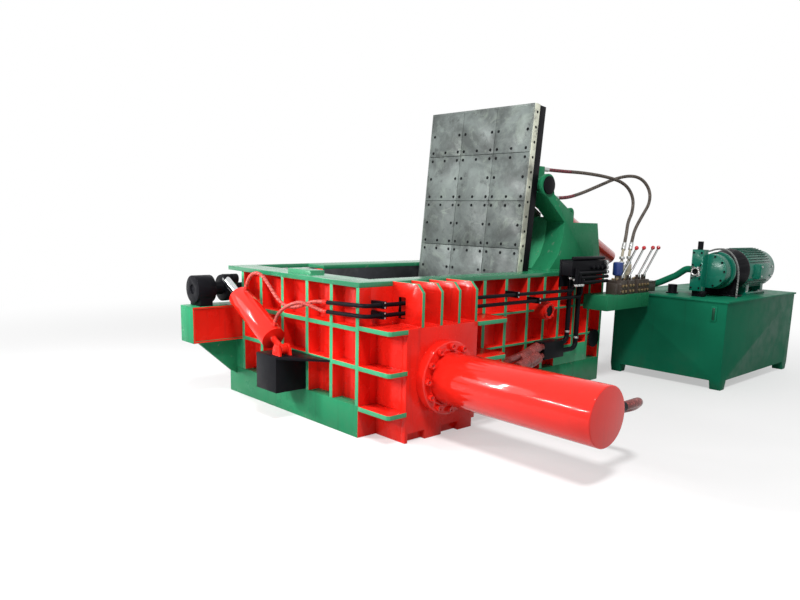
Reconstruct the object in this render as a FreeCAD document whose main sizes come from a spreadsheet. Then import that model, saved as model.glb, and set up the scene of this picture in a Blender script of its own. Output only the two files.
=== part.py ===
import FreeCAD, Part
import math
import os
import Sketcher

# Triple-compression scrap metal baler with a swinging press lid, two rams,
# a bale turn-out flap and a separate hydraulic power pack. Millimetres.
# Every length below is measured in press coordinates: x = 0 is the outer face that
# carries the main cylinder, y = 0 the long-side end face, z = 0 the floor. The sheet's
# front_x and left_y move the finished pieces so that the part's origin is the
# centre of the press base's underside.

SIZES = {
    # frame offset
    "front_x": 1020.5, "left_y": -1754,
    # press box
    "box_long": 2041, "box_deep": 3508, "base_high": 200, "skirt_top": 262,
    "rim_top": 1250, "rim_thick": 40, "floor_top": 240,
    "left_rib": 120, "left_plate": 148, "right_rib": 110, "right_plate": 93,
    "far_shelf": 211, "far_plate": 93, "liner_thick": 25, "end_wall": 100,
    "rib_thick": 40, "shelf_thick": 35, "thin_shelf": 20,
    "shelf_high": 896, "shelf_mid": 592, "shelf_high_end": 1420,
    "right_shelf_high": 888, "right_shelf_mid": 569, "panel_from": 2630, "panel_to": 3230,
    "panel_top": 467, "drum_cover_r": 100, "drum_cover_y": 3358,
    "mouth_back": 2470, "bulkhead_thick": 60, "bulkhead_low": 760,
    "stay_thick": 30, "pad_long": 350, "pad_from": 100, "pad_wide": 150, "pad_thick": 35,
    # main ram, its guide box and cylinder
    "main_y": 598, "main_z": 495, "ram_half": 300, "ram_top": 740, "ram_gap": 12,
    "slide_gap": 0.3, "main_face": 225, "main_head_long": 495, "ram_shell": 40,
    "ram_front": 60, "main_stroke": 1025,
    "wing_out": 370, "wing_plate": 38, "wing_top": 914, "wing_mid": 592,
    "wing_far": 1430, "side_sheet": 35, "guide_bar": 35,
    "plate_front": 353, "plate_thick": 50, "plate_low": 76, "plate_left": 192,
    "plate_right": 1004, "foot_left": 30, "foot_wide": 190,
    "gusset_thick": 30, "gusset_first": 360, "gusset_pitch": 206, "gusset_count": 4,
    "gusset_nose": 1185, "gusset_chamfer": 63, "slot_wide": 80, "slot_low": 960,
    "slot_high": 1130,
    "barrel_r": 217, "barrel_end": 1882, "barrel_bore": 180, "cap_thick": 50,
    "gland_long": 117, "rod_r": 110, "piston_long": 70, "running_gap": 0.05,
    "seat_gap": 0.3, "ring_r": 300, "ring_thick": 87, "bolt_circle": 260,
    "bolt_r": 16, "bolt_head_r": 28, "bolt_head": 30, "bolt_count": 12,
    "port_r": 36, "port_x": 1800, "port_tip": 940, "front_port_x": 540,
    # feed ram
    "feed_face": 2400, "feed_long": 600, "feed_front": 80, "feed_side_gap": 5,
    "feed_shell": 30, "feed_r": 180, "feed_bore": 140, "feed_rod_r": 80,
    "feed_start": 2680, "feed_end": 4350, "feed_gland": 60, "feed_flange_r": 260,
    "feed_flange": 50,
    # lid, in its own upright coordinates about the hinge line
    "hinge_y": 2338, "hinge_z": 880, "lid_lean": 5.27, "lid_reach": 2035,
    "lid_tail": 40, "lid_front": 120, "lid_back": 80, "lid_gap": 10,
    "lid_far_gap": 4, "lid_plate": 25, "lid_skin": 25, "lid_rib": 25, "blade_wide": 80,
    "blade_thick": 20, "shaft_r": 55, "lid_tube_r": 78, "boss_r": 80, "boss_out": 130,
    "shaft_out": 122, "row_first": 480, "row_last": 100, "plate_seam": 4,
    "lug_y": 33.8, "lug_z": 1316.7, "lug_clear": 120, "lug_pin_r": 30, "lug_gap": 2,
    # lid cylinders
    "trunnion_y": 2630, "trunnion_z": 2128, "lid_cyl_x": 520, "lid_cyl_tilt": 66.42,
    "lid_cyl_r": 90, "lid_cyl_bore": 70, "lid_cyl_back": 1960, "lid_cyl_front": 60,
    "lid_rod_r": 50, "lid_rod_eye": 150, "lid_eye_r": 55, "lid_eye_wide": 60,
    "journal_r": 57, "journal_in": 652, "journal_out": 192, "lid_piston": 60,
    "lid_gland": 32,
    # lid cylinder brackets
    "web_out": 190, "web_in": 420, "web_thick": 40, "web_third": 650,
    "web_third_thick": 30, "web_boss_r": 115, "web_boss_small": 88, "cap_r": 92,
    "cap_out": 18, "eye_y": 3230, "eye_z": 1857, "eye_r": 60, "eye_hole": 25,
    "eye_thick": 30,
    # turn-out gear
    "turn_set": 129, "turn_z": 1049, "turn_r": 45, "flap_left": 298, "flap_right": 898,
    "flap_thick": 22, "tray_long": 462, "tray_thick": 24, "flap_top": 1100,
    "arm_first": 380, "arm_second": 760, "arm_thick": 40, "arm_low": 985,
    "guard_set": 30, "guard_up": 168,
    "hub_r": 80, "notch_rim": 41, "notch_low": 880, "notch_gap": 13,
    "crank_dx": 190, "crank_dz": 103, "crank_disc": 125, "crank_pin_r": 25,
    "crank_boss": 45, "pivot_x": 780, "pivot_z": 630, "turn_cyl_y": 200,
    "turn_cyl_r": 105, "turn_cyl_from": 154, "turn_cyl_to": 787, "turn_cyl_bore": 65,
    "turn_rod_r": 38, "turn_eye_wide": 70, "turn_piston": 400, "turn_pin_r": 25,
    "beam_in": 6, "beam_wide": 246, "beam_low": 555, "beam_top": 895,
    "beam_end": 504, "beam_plate": 20, "beam_web": 30, "drum_r": 128,
    "drum_end": 440, "drum_from": 262, "neck_r": 62, "crank_from": 150, "crank_to": 89,
    # pipes
    "pipe_r": 17, "pipe_x": 120, "pipe_y": 30, "drop_r": 25, "drop_x": 60,
    "hose_r": 14, "thin_hose_r": 10, "turn_hose_r": 12, "wrap_r": 34,
    # power pack and valves
    "tank_left": 174, "tank_right": 1191, "tank_front": 4042, "tank_long": 2018,
    "tank_top": 975, "tank_low": 100, "tank_lip": 20,
    "pump_x": 800, "pump_z": 1265, "motor_r": 235, "pump_r": 190, "pump_neck_r": 120,
    "motor_set": 858, "motor_long": 800, "stand_gap": 42, "stand_long": 880, "stand_top": 1000,
    "stand_low": 840, "stand_out": 300, "stand_wall": 12, "valve_top": 1150,
    "valve_set": 210, "valve_over": 200, "valve_in": 110, "valve_out": 290,
    "lever_x": 250, "lever_z": 1185, "lever_tilt": 25.5, "lever_long": 360,
    "lever_r": 11, "knob_r": 22, "lever_hub_r": 18, "lever_hub_wide": 30,
    "lever_pin_r": 8,
}

doc = FreeCAD.newDocument("baler")
sheet = doc.addObject("Spreadsheet::Sheet", "sizes")
for row, (word, number) in enumerate(SIZES.items(), start=1):
    sheet.set("A%d" % row, word)
    sheet.set("B%d" % row, str(number))
    sheet.setAlias("B%d" % row, word)
doc.recompute()


class Size:
    """A length that carries its number and the sheet expression it stands for."""

    def __init__(self, value, text):
        self.value = float(value)
        self.text = text

    def __float__(self):
        return self.value

    def __neg__(self):
        return Size(-self.value, "(0 - %s)" % self.text)

    def __add__(self, other):
        other = size(other)
        return Size(self.value + other.value, "(%s + %s)" % (self.text, other.text))

    def __sub__(self, other):
        other = size(other)
        return Size(self.value - other.value, "(%s - %s)" % (self.text, other.text))

    def __mul__(self, other):
        other = size(other)
        return Size(self.value * other.value, "(%s * %s)" % (self.text, other.text))

    def __truediv__(self, other):
        other = size(other)
        return Size(self.value / other.value, "(%s / %s)" % (self.text, other.text))

    def __radd__(self, other):
        return size(other) + self

    def __rsub__(self, other):
        return size(other) - self

    def __rmul__(self, other):
        return size(other) * self


def size(value):
    """Turn a plain number into a Size; leave a Size as it is."""
    if isinstance(value, Size):
        return value
    return Size(value, "(0 - %r)" % -value if value < 0 else repr(value))


def smaller(first, second):
    """The smaller of two sizes, for a piece that has to reach both of its neighbours."""
    first, second = size(first), size(second)
    return Size(min(first.value, second.value), "min(%s; %s)" % (first.text, second.text))


class Sheet:
    """Attribute access to the driving dimensions, such as d.rim_top."""

    def __getattr__(self, word):
        if word not in SIZES:
            raise AttributeError(word)
        return Size(SIZES[word], "sizes." + word)


d = Sheet()
NODES = []
AXES = {"x": FreeCAD.Vector(1, 0, 0), "y": FreeCAD.Vector(0, 1, 0), "z": FreeCAD.Vector(0, 0, 1)}
TURN_TO = {
    "x": FreeCAD.Rotation(AXES["y"], 90),
    "y": FreeCAD.Rotation(AXES["x"], -90),
    "z": FreeCAD.Rotation(),
}
PLANES = {"xy": "XY_Plane", "xz": "XZ_Plane", "yz": "YZ_Plane"}


def bind(thing, prop, value):
    """Give a property a length, as an expression on the sheet wherever it uses one."""
    value = size(value)
    if "sizes." in value.text:
        thing.setExpression(prop, value.text)
    elif prop.startswith("Placement.Base."):
        base = thing.Placement.Base
        setattr(base, prop[-1], value.value)
        thing.Placement = FreeCAD.Placement(base, thing.Placement.Rotation)
    else:
        setattr(thing, prop, value.value)


def place(thing, x, y, z):
    bind(thing, "Placement.Base.x", x)
    bind(thing, "Placement.Base.y", y)
    bind(thing, "Placement.Base.z", z)
    return thing


def box(x0, x1, y0, y1, z0, z1):
    """Plate or block between two corners."""
    thing = doc.addObject("Part::Box", "plate")
    bind(thing, "Length", size(x1) - x0)
    bind(thing, "Width", size(y1) - y0)
    bind(thing, "Height", size(z1) - z0)
    return place(thing, x0, y0, z0)


def rod(axis, radius, start, end, a, b):
    """Cylinder along an axis; a and b are its centre in the other two coordinates."""
    thing = doc.addObject("Part::Cylinder", "round")
    bind(thing, "Radius", radius)
    bind(thing, "Height", size(end) - start)
    thing.Placement = FreeCAD.Placement(FreeCAD.Vector(), TURN_TO[axis])
    spot = {"x": (start, a, b), "y": (a, start, b), "z": (a, b, start)}[axis]
    return place(thing, *spot)


def cone(axis, r0, r1, start, end, a, b):
    thing = doc.addObject("Part::Cone", "cone")
    bind(thing, "Radius1", r0)
    bind(thing, "Radius2", r1)
    bind(thing, "Height", size(end) - start)
    thing.Placement = FreeCAD.Placement(FreeCAD.Vector(), TURN_TO[axis])
    spot = {"x": (start, a, b), "y": (a, start, b), "z": (a, b, start)}[axis]
    return place(thing, *spot)


def outline(body, plane, points):
    """Closed sketch of straight lines, each corner held at its two distances."""
    sketch = body.newObject("Sketcher::SketchObject", "profile")
    role = PLANES[plane]
    origin = [f for f in body.Origin.OriginFeatures if f.Role == role][0]
    sketch.AttachmentSupport = (origin, [""])
    sketch.MapMode = "FlatFace"
    corners = [FreeCAD.Vector(float(a), float(b), 0) for a, b in points]
    count = len(corners)
    for i in range(count):
        sketch.addGeometry(Part.LineSegment(corners[i], corners[(i + 1) % count]), False)
    for i in range(count):
        sketch.addConstraint(Sketcher.Constraint("Coincident", i, 2, (i + 1) % count, 1))
    for i, corner in enumerate(points):
        for kind, value in zip(("DistanceX", "DistanceY"), corner):
            value = size(value)
            index = sketch.addConstraint(Sketcher.Constraint(kind, -1, 1, i, 1, value.value))
            if "sizes." in value.text:
                sketch.setExpression("Constraints[%d]" % index, value.text)
    return sketch


def prism(plane, points, start, end):
    """Profile in the xy, xz or yz plane, padded between two levels of the third axis."""
    body = doc.addObject("PartDesign::Body", "profiled")
    sketch = outline(body, plane, points)
    level = -size(end) if plane == "xz" else size(start)
    bind_level = level.text if "sizes." in level.text else repr(level.value)
    sketch.setExpression("AttachmentOffset.Base.z", bind_level)
    pad = body.newObject("PartDesign::Pad", "pad")
    pad.Profile = sketch
    bind(pad, "Length", size(end) - start)
    sketch.Visibility = False
    return body


def turned(points, axis="z"):
    """Profile of radius and height, revolved about the body's own Z, then laid along an axis."""
    body = doc.addObject("PartDesign::Body", "turned")
    sketch = outline(body, "xz", points)
    spin = body.newObject("PartDesign::Revolution", "revolve")
    spin.Profile = sketch
    spin.ReferenceAxis = (sketch, ["V_Axis"])
    spin.Angle = 360
    body.Placement = FreeCAD.Placement(FreeCAD.Vector(), TURN_TO[axis])
    return body


def fuse(things):
    if len(things) == 1:
        return things[0]
    whole = doc.addObject("Part::MultiFuse", "joined")
    whole.Shapes = things
    whole.Refine = True
    return whole


def cut(base, tools):
    thing = doc.addObject("Part::Cut", "cut")
    thing.Base = base
    thing.Tool = fuse(list(tools))
    thing.Refine = True
    return thing


def group(things):
    thing = doc.addObject("Part::Compound", "set")
    thing.Links = things
    return thing


def across(thing):
    """Mirror image about the press's middle plane."""
    image = doc.addObject("Part::Mirroring", "mirrored")
    image.Source = thing
    image.Normal = AXES["x"]
    image.setExpression("Base.x", (-press_mid).text)
    return image


def node(name, thing, x=0, y=0, z=0, turn=None):
    """Name a finished sub-part and set it in the part's frame."""
    thing = group([thing])
    thing.Label = name
    if turn is not None:
        thing.Placement = FreeCAD.Placement(FreeCAD.Vector(), turn)
    place(thing, d.front_x + x, d.left_y + y, size(z))
    NODES.append(thing)
    return thing


def sweep(points, radius, bend=None):
    """Tube of straight runs and tangent arcs. bend is a fixed bend radius; without it
    each arc is as large as its two runs allow."""
    spots = [FreeCAD.Vector(*[float(v) for v in p]) for p in points]
    edges = []
    radii = []
    begin = spots[0]
    for before, here, after in zip(spots, spots[1:], spots[2:]):
        into = (before - here)
        out = (after - here)
        half = (math.pi - into.getAngle(out)) / 2
        shorter = min(into.Length, out.Length)
        if bend is None:
            trim = 0.45 * shorter
        else:
            trim = min(bend * math.tan(half), 0.48 * shorter)
        bow = trim / math.tan(half)
        radii.append(bow)
        into.normalize()
        out.normalize()
        first = here + into * trim
        last = here + out * trim
        inward = (into + out).normalize()
        centre = here + inward * (bow / math.cos(half))
        middle = centre - inward * bow
        edges.append(Part.LineSegment(begin, first).toShape())
        edges.append(Part.Arc(first, middle, last).toShape())
        begin = last
    edges.append(Part.LineSegment(begin, spots[-1]).toShape())
    path = Part.Wire(edges)
    ring = Part.Wire(Part.Circle(spots[0], spots[1] - spots[0], float(radius)).toShape())
    tube = path.makePipeShell([ring], True, False)
    exact = math.pi * float(radius) ** 2 * path.Length
    print("length %.0f  volume ratio %.4f  least radius %.0f" % (
        path.Length, tube.Volume / exact, min(radii)))
    return tube


def tubes(name, shapes):
    """A sub-part made of swept tubes."""
    thing = doc.addObject("Part::Feature", "tube")
    thing.Shape = shapes[0] if len(shapes) == 1 else Part.makeCompound(shapes)
    return node(name, thing)


# --- press box -------------------------------------------------------------------------

left_plate_y = d.left_rib + d.left_plate
right_plate_x = -(d.right_rib + d.right_plate)
chamber_right = right_plate_x - d.liner_thick
far_outer = d.box_long - d.far_shelf
far_plate_x = -(far_outer - d.far_plate)
chamber_left = far_plate_x + d.liner_thick
chamber_front = left_plate_y + d.liner_thick
wall_top = d.rim_top - d.rim_thick
press_mid = (chamber_left + chamber_right) / -2
beam_left = d.box_long - d.beam_in
beam_right = beam_left - d.beam_wide
turn_x = d.box_long - d.turn_set
rear_inner = d.box_deep - d.end_wall
channel_left = d.main_y - d.ram_half - d.ram_gap
channel_right = d.main_y + d.ram_half + d.ram_gap
channel_top = d.ram_top + d.ram_gap
notch_left = d.flap_left - d.notch_gap
notch_right = d.flap_right + d.notch_gap

base = fuse([
    box(-d.box_long, 0, 0, d.box_deep, 0, d.base_high),
    box(-d.box_long, 0, 0, d.left_rib, d.base_high, d.skirt_top),
    box(-d.right_rib, 0, d.left_rib, channel_left, d.base_high, d.skirt_top),
    box(-d.right_rib, 0, channel_right, d.box_deep, d.base_high, d.skirt_top),
])
node("base_frame", base)

tray_end = chamber_left + d.tray_long
recess_end = tray_end + 5
floor = fuse([
    box(far_plate_x, right_plate_x, left_plate_y, rear_inner, d.base_high, d.floor_top),
    box(right_plate_x, d.plate_front - d.plate_thick, channel_left, channel_right,
        d.base_high, d.floor_top),
])
recess = box(chamber_left, recess_end, d.flap_left - 5, d.flap_right + 5,
             d.floor_top - d.tray_thick - 4, d.floor_top + 1)
node("floor_plate", cut(floor, [recess]))

# Left wall: smooth plate, six outer ribs and two shelves between them.
left_wall = [box(-far_outer, right_plate_x, d.left_rib, left_plate_y, d.base_high, wall_top)]
for centre in (-20, -362, -705, -1085, -1439, -(beam_right - d.rib_thick / 2)):
    left_wall.append(box(centre - d.rib_thick / 2, centre + d.rib_thick / 2, 0, d.left_rib,
                         d.skirt_top, wall_top))
left_wall.append(box(-d.shelf_high_end, 0, 0, d.left_rib, d.shelf_high - d.shelf_thick,
                     d.shelf_high))
left_wall.append(box(-beam_right, 0, 0, d.left_rib, d.shelf_mid - d.shelf_thick, d.shelf_mid))
node("wall_left", fuse(left_wall))

# Right wall: carries the main cylinder, the lid hinge boss and the valve gear.
right_wall = [
    box(right_plate_x, -d.right_rib, d.left_rib, d.box_deep, d.base_high, wall_top),
    rod("x", d.boss_r, -d.right_rib, d.boss_out, d.hinge_y, d.hinge_z),
    rod("x", d.boss_r + 10, -d.right_rib, d.boss_out - 30, d.hinge_y, d.hinge_z),
    box(-d.rib_thick, 0, d.left_rib, channel_left, d.skirt_top, wall_top),
    box(-d.rib_thick, 0, channel_left, d.gusset_first, d.wing_top, wall_top),
    box(-d.rib_thick, 0, d.panel_from, d.panel_to, d.skirt_top, d.panel_top),
    rod("x", d.drum_cover_r, -d.right_rib, 20, d.drum_cover_y, d.panel_top + 23),
]
for centre in (1484, 1798, 2139, 2409, 2668, 2950, 3230, 3488):
    right_wall.append(box(-d.right_rib, 0, centre - d.rib_thick / 2, centre + d.rib_thick / 2,
                          d.skirt_top, wall_top))
for level in (d.right_shelf_high, d.right_shelf_mid):
    right_wall.append(box(-d.right_rib, 0, d.wing_far, d.box_deep, level - d.thin_shelf, level))
node("wall_right", cut(fuse(right_wall), [
    box(right_plate_x - 1, 1, channel_left, channel_right, d.base_high, channel_top),
    rod("x", d.shaft_r + d.running_gap, right_plate_x - 1, d.boss_out + 1, d.hinge_y, d.hinge_z),
]))

# Far wall: notched where the turn-out flap swings over it.
far_wall = [
    box(-far_outer, far_plate_x, left_plate_y, d.box_deep, d.base_high, wall_top),
    rod("x", d.boss_r, -(far_outer + 160), -far_outer, d.hinge_y, d.hinge_z),
]
for centre in (1000, 1500, 2000, 2600, 3100, 3488):
    far_wall.append(box(-(far_outer + 160), -far_outer, centre - d.rib_thick / 2,
                        centre + d.rib_thick / 2, d.base_high, wall_top))
node("wall_far", cut(fuse(far_wall), [
    box(-(far_outer + 1), far_plate_x + 1, notch_left, notch_right, d.notch_low, wall_top + 1),
    rod("x", d.shaft_r + d.running_gap, -(far_outer + 161), far_plate_x + 1, d.hinge_y,
        d.hinge_z),
    rod("y", d.turn_r + d.running_gap, 970, 1030, -turn_x, d.turn_z),
]))

# Rear housing: end wall, bulkhead behind the lid and the stays between them.
rear = [
    box(far_plate_x, right_plate_x, rear_inner, d.box_deep, d.base_high, wall_top),
    box(chamber_left, chamber_right, d.mouth_back + 10, d.mouth_back + 10 + d.bulkhead_thick,
        d.bulkhead_low, wall_top),
]
for centre in (-1400, -press_mid, -540):
    rear.append(box(centre - d.stay_thick / 2, centre + d.stay_thick / 2,
                    d.mouth_back + 10 + d.bulkhead_thick, rear_inner, d.bulkhead_low + 20,
                    wall_top))
node("rear_housing", cut(fuse(rear), [
    rod("y", d.feed_r + d.seat_gap, rear_inner - 1, d.box_deep + 1, -press_mid, d.main_z),
]))

rim = fuse([
    box(-d.box_long, 0, 0, d.box_deep, wall_top, d.rim_top),
    box(-press_mid - d.pad_long / 2, -press_mid + d.pad_long / 2, d.pad_from,
        d.pad_from + d.pad_wide, d.rim_top, d.rim_top + d.pad_thick),
])
node("rim_plate", cut(rim, [
    box(chamber_left, chamber_right, chamber_front, d.mouth_back, wall_top - 1, d.rim_top + 1),
    box(-(d.box_long - d.notch_rim), chamber_left + 1, notch_left, notch_right, wall_top - 1,
        d.rim_top + 1),
]))

hinge_hole = rod("x", d.shaft_r + 5, chamber_left - 30, chamber_right + 30, d.hinge_y, d.hinge_z)
liners = group([
    box(chamber_left, chamber_right, left_plate_y, chamber_front, d.floor_top, wall_top),
    cut(box(chamber_right, right_plate_x, left_plate_y, rear_inner, d.floor_top, wall_top), [
        box(chamber_right - 1, right_plate_x + 1, channel_left, channel_right, d.floor_top - 1,
            channel_top),
        hinge_hole,
    ]),
    cut(box(far_plate_x, chamber_left, left_plate_y, rear_inner, d.floor_top, wall_top), [
        box(far_plate_x - 1, chamber_left + 1, notch_left, notch_right, d.notch_low,
            wall_top + 1),
        rod("x", d.shaft_r + 5, far_plate_x - 30, chamber_left + 30, d.hinge_y, d.hinge_z),
    ]),
])
node("chamber_liners", liners)

# --- main ram mounting ------------------------------------------------------------------

plate_back = d.plate_front - d.plate_thick
wing_low = d.wing_top - d.wing_plate
housing = [
    box(0, plate_back, d.plate_left, d.plate_left + d.side_sheet, 0, wing_low),
    box(0, plate_back, d.plate_right - d.side_sheet, d.plate_right, 0, wing_low),
    box(0, plate_back, d.plate_left, d.plate_right, 0, d.base_high),
    box(0, plate_back, channel_left - d.guide_bar, channel_left, d.base_high, d.ram_top),
    box(0, plate_back, channel_right, channel_right + d.guide_bar, d.base_high, d.ram_top),
]
node("ram_housing", fuse(housing))

wings = []
for top in (d.wing_top, d.wing_mid, d.skirt_top):
    low = top - d.wing_plate
    wings.append(prism("xy", [(0, 0), (d.wing_out - 20, 0), (d.wing_out, 20),
                              (d.wing_out, d.plate_left - 1), (0, d.plate_left - 1)], low, top))
    wings.append(prism("xy", [(0, d.plate_right + 1), (d.wing_out, d.plate_right + 1),
                              (d.wing_out, d.wing_far - 60), (d.wing_out - 60, d.wing_far),
                              (0, d.wing_far)], low, top))
wings.append(box(0, plate_back, d.plate_left - 1, d.plate_right + 1, wing_low, d.wing_top))
node("wrap_plates", group([fuse([wings[0], wings[1], wings[6]])] + wings[2:6]))

gussets = []
for step in range(int(SIZES["gusset_count"])):
    y0 = d.gusset_first + d.gusset_pitch * step - d.gusset_thick / 2
    gussets.append(prism("xz", [(0, d.wing_top), (d.plate_front, d.wing_top),
                                (d.plate_front, d.gusset_nose),
                                (d.plate_front - d.gusset_chamfer, d.rim_top), (0, d.rim_top)],
                         y0, y0 + d.gusset_thick))
pipe_slot = box(d.pipe_x - d.slot_wide / 2, d.pipe_x + d.slot_wide / 2, 0, 1200, d.slot_low,
                d.slot_high)
node("cylinder_gussets", cut(group(gussets), [pipe_slot]))

mount = [box(plate_back, d.plate_front, d.plate_left, d.plate_right, d.plate_low, d.wing_top)]
for y0, wide in ((d.plate_left, d.foot_left), (410, d.foot_wide), (800, 170)):
    mount.append(box(plate_back, d.plate_front, y0, y0 + wide, 0, d.plate_low))
node("flange_plate", cut(fuse(mount), [
    rod("x", d.rod_r + 2, plate_back - 1, d.plate_front + 1, d.main_y, d.main_z),
]))

# Bolted ring: a revolved flange with a polar pattern of bolt holes.
ring_body = doc.addObject("PartDesign::Body", "ring")
ring_sketch = outline(ring_body, "xz", [
    (d.barrel_r + d.seat_gap, 0), (d.ring_r, 0), (d.ring_r, d.ring_thick - 8),
    (d.ring_r - 8, d.ring_thick), (d.barrel_r + d.seat_gap, d.ring_thick)])
ring_spin = ring_body.newObject("PartDesign::Revolution", "ring_turn")
ring_spin.Profile = ring_sketch
ring_spin.ReferenceAxis = (ring_sketch, ["V_Axis"])
ring_spin.Angle = 360
hole_sketch = ring_body.newObject("Sketcher::SketchObject", "hole_sketch")
top_plane = [f for f in ring_body.Origin.OriginFeatures if f.Role == "XY_Plane"][0]
hole_sketch.AttachmentSupport = (top_plane, [""])
hole_sketch.MapMode = "FlatFace"
hole_sketch.addGeometry(Part.Circle(FreeCAD.Vector(float(d.bolt_circle), 0, 0), AXES["z"],
                                    float(d.bolt_r + d.seat_gap)), False)
hole_sketch.addConstraint(Sketcher.Constraint("PointOnObject", 0, 3, -1))
spot = hole_sketch.addConstraint(Sketcher.Constraint("DistanceX", -1, 1, 0, 3,
                                                     float(d.bolt_circle)))
hole_sketch.setExpression("Constraints[%d]" % spot, d.bolt_circle.text)
wide = hole_sketch.addConstraint(Sketcher.Constraint("Radius", 0, float(d.bolt_r + d.seat_gap)))
hole_sketch.setExpression("Constraints[%d]" % wide, (d.bolt_r + d.seat_gap).text)
doc.recompute()
solid_before = ring_body.Shape.Volume
holes = ring_body.newObject("PartDesign::Pocket", "holes")
holes.Profile = hole_sketch
holes.Type = "ThroughAll"
holes.Reversed = True
doc.recompute()
if ring_body.Shape.Volume >= solid_before:
    raise RuntimeError("the bolt holes cut nothing")
pattern = ring_body.newObject("PartDesign::PolarPattern", "hole_pattern")
pattern.Originals = [holes]
pattern.Axis = (hole_sketch, ["N_Axis"])
pattern.Angle = 360
pattern.setExpression("Occurrences", "sizes.bolt_count")
ring_body.Tip = pattern
ring_body.Placement = FreeCAD.Placement(FreeCAD.Vector(), TURN_TO["x"])
place(ring_body, d.plate_front, d.main_y, d.main_z)
node("cylinder_flange", ring_body)

bolts = []
for step in range(int(SIZES["bolt_count"])):
    angle = 2 * math.pi * step / SIZES["bolt_count"]
    shank = rod("x", d.bolt_r, 0, d.ring_thick, 0, 0)
    head = doc.addObject("Part::Prism", "hexagon")
    head.Polygon = 6
    bind(head, "Circumradius", d.bolt_head_r)
    bind(head, "Height", d.bolt_head)
    head.Placement = FreeCAD.Placement(FreeCAD.Vector(), TURN_TO["x"])
    place(head, d.ring_thick, 0, 0)
    bolt = group([fuse([shank, head])])
    place(bolt, d.plate_front, d.main_y + d.bolt_circle * math.sin(angle),
          d.main_z + d.bolt_circle * math.cos(angle))
    bolts.append(bolt)
node("flange_bolts", group(bolts))

# Main cylinder: gland at the plate, blind end cap, two side ports.
main_inner_end = d.barrel_end - d.cap_thick
gland_end = d.plate_front + d.gland_long
barrel = turned([
    (d.rod_r + d.running_gap, d.plate_front), (d.barrel_r, d.plate_front),
    (d.barrel_r, d.barrel_end - 6), (d.barrel_r - 6, d.barrel_end), (0, d.barrel_end),
    (0, main_inner_end), (d.barrel_bore, main_inner_end), (d.barrel_bore, gland_end),
    (d.rod_r + d.running_gap, gland_end)], "x")
place(barrel, 0, d.main_y, d.main_z)
ports = [rod("y", d.port_r, d.main_y + d.barrel_bore + 5, d.port_tip, d.port_x, d.main_z),
         rod("y", d.port_r, d.main_y + d.barrel_bore + 5, d.main_y + d.barrel_r + 40,
             d.front_port_x, d.main_z)]
node("main_barrel", fuse([barrel] + ports))

# Main ram: rod with its piston, and the hollow pressing head.
head_back = -d.main_face + d.main_head_long
rod_from = -d.main_face + d.ram_front
piston_end = main_inner_end - 12
main_rod = turned([
    (0, rod_from), (d.rod_r, rod_from), (d.rod_r, piston_end - d.piston_long),
    (d.barrel_bore - d.running_gap, piston_end - d.piston_long),
    (d.barrel_bore - d.running_gap, piston_end), (0, piston_end)], "x")
place(main_rod, 0, d.main_y, d.main_z)
node("main_ram_rod", main_rod)

head_low = d.floor_top + d.slide_gap
main_head = cut(box(-d.main_face, head_back, d.main_y - d.ram_half, d.main_y + d.ram_half,
                    head_low, d.ram_top), [
    box(rod_from, head_back + 1, d.main_y - d.ram_half + d.ram_shell,
        d.main_y + d.ram_half - d.ram_shell, head_low + d.ram_shell, d.ram_top - d.ram_shell)])
node("main_ram_head", main_head)

# --- feed ram ---------------------------------------------------------------------------

feed_barrel = turned([
    (d.feed_rod_r + d.running_gap, d.feed_start), (d.feed_r, d.feed_start),
    (d.feed_r, d.box_deep), (d.feed_flange_r, d.box_deep),
    (d.feed_flange_r, d.box_deep + d.feed_flange), (d.feed_r, d.box_deep + d.feed_flange),
    (d.feed_r, d.feed_end), (0, d.feed_end), (0, d.feed_end - 40),
    (d.feed_bore, d.feed_end - 40), (d.feed_bore, d.feed_start + d.feed_gland),
    (d.feed_rod_r + d.running_gap, d.feed_start + d.feed_gland)], "y")
place(feed_barrel, -press_mid, 0, d.main_z)
node("feed_barrel", feed_barrel)

feed_piston = d.feed_end - 40 - 20
feed_rod = turned([
    (0, d.feed_face + d.feed_front), (d.feed_rod_r, d.feed_face + d.feed_front),
    (d.feed_rod_r, feed_piston - 50), (d.feed_bore - d.running_gap, feed_piston - 50),
    (d.feed_bore - d.running_gap, feed_piston), (0, feed_piston)], "y")
place(feed_rod, -press_mid, 0, d.main_z)
node("feed_ram_rod", feed_rod)

feed_left = chamber_left + d.feed_side_gap
feed_right = chamber_right - d.feed_side_gap
feed_back = d.feed_face + d.feed_long
feed_head = cut(box(feed_left, feed_right, d.feed_face, feed_back, head_low, d.ram_top), [
    box(feed_left + d.feed_shell, feed_right - d.feed_shell, d.feed_face + d.feed_front,
        feed_back + 1, head_low + d.feed_shell, d.ram_top - d.feed_shell)])
node("feed_ram_head", feed_head)

# --- lid, built upright about its hinge line, then leaned back ---------------------------

lid_turn = FreeCAD.Rotation(AXES["x"], -float(d.lid_lean))


def lid_node(name, thing):
    return node(name, thing, 0, d.hinge_y, d.hinge_z, lid_turn)


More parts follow.
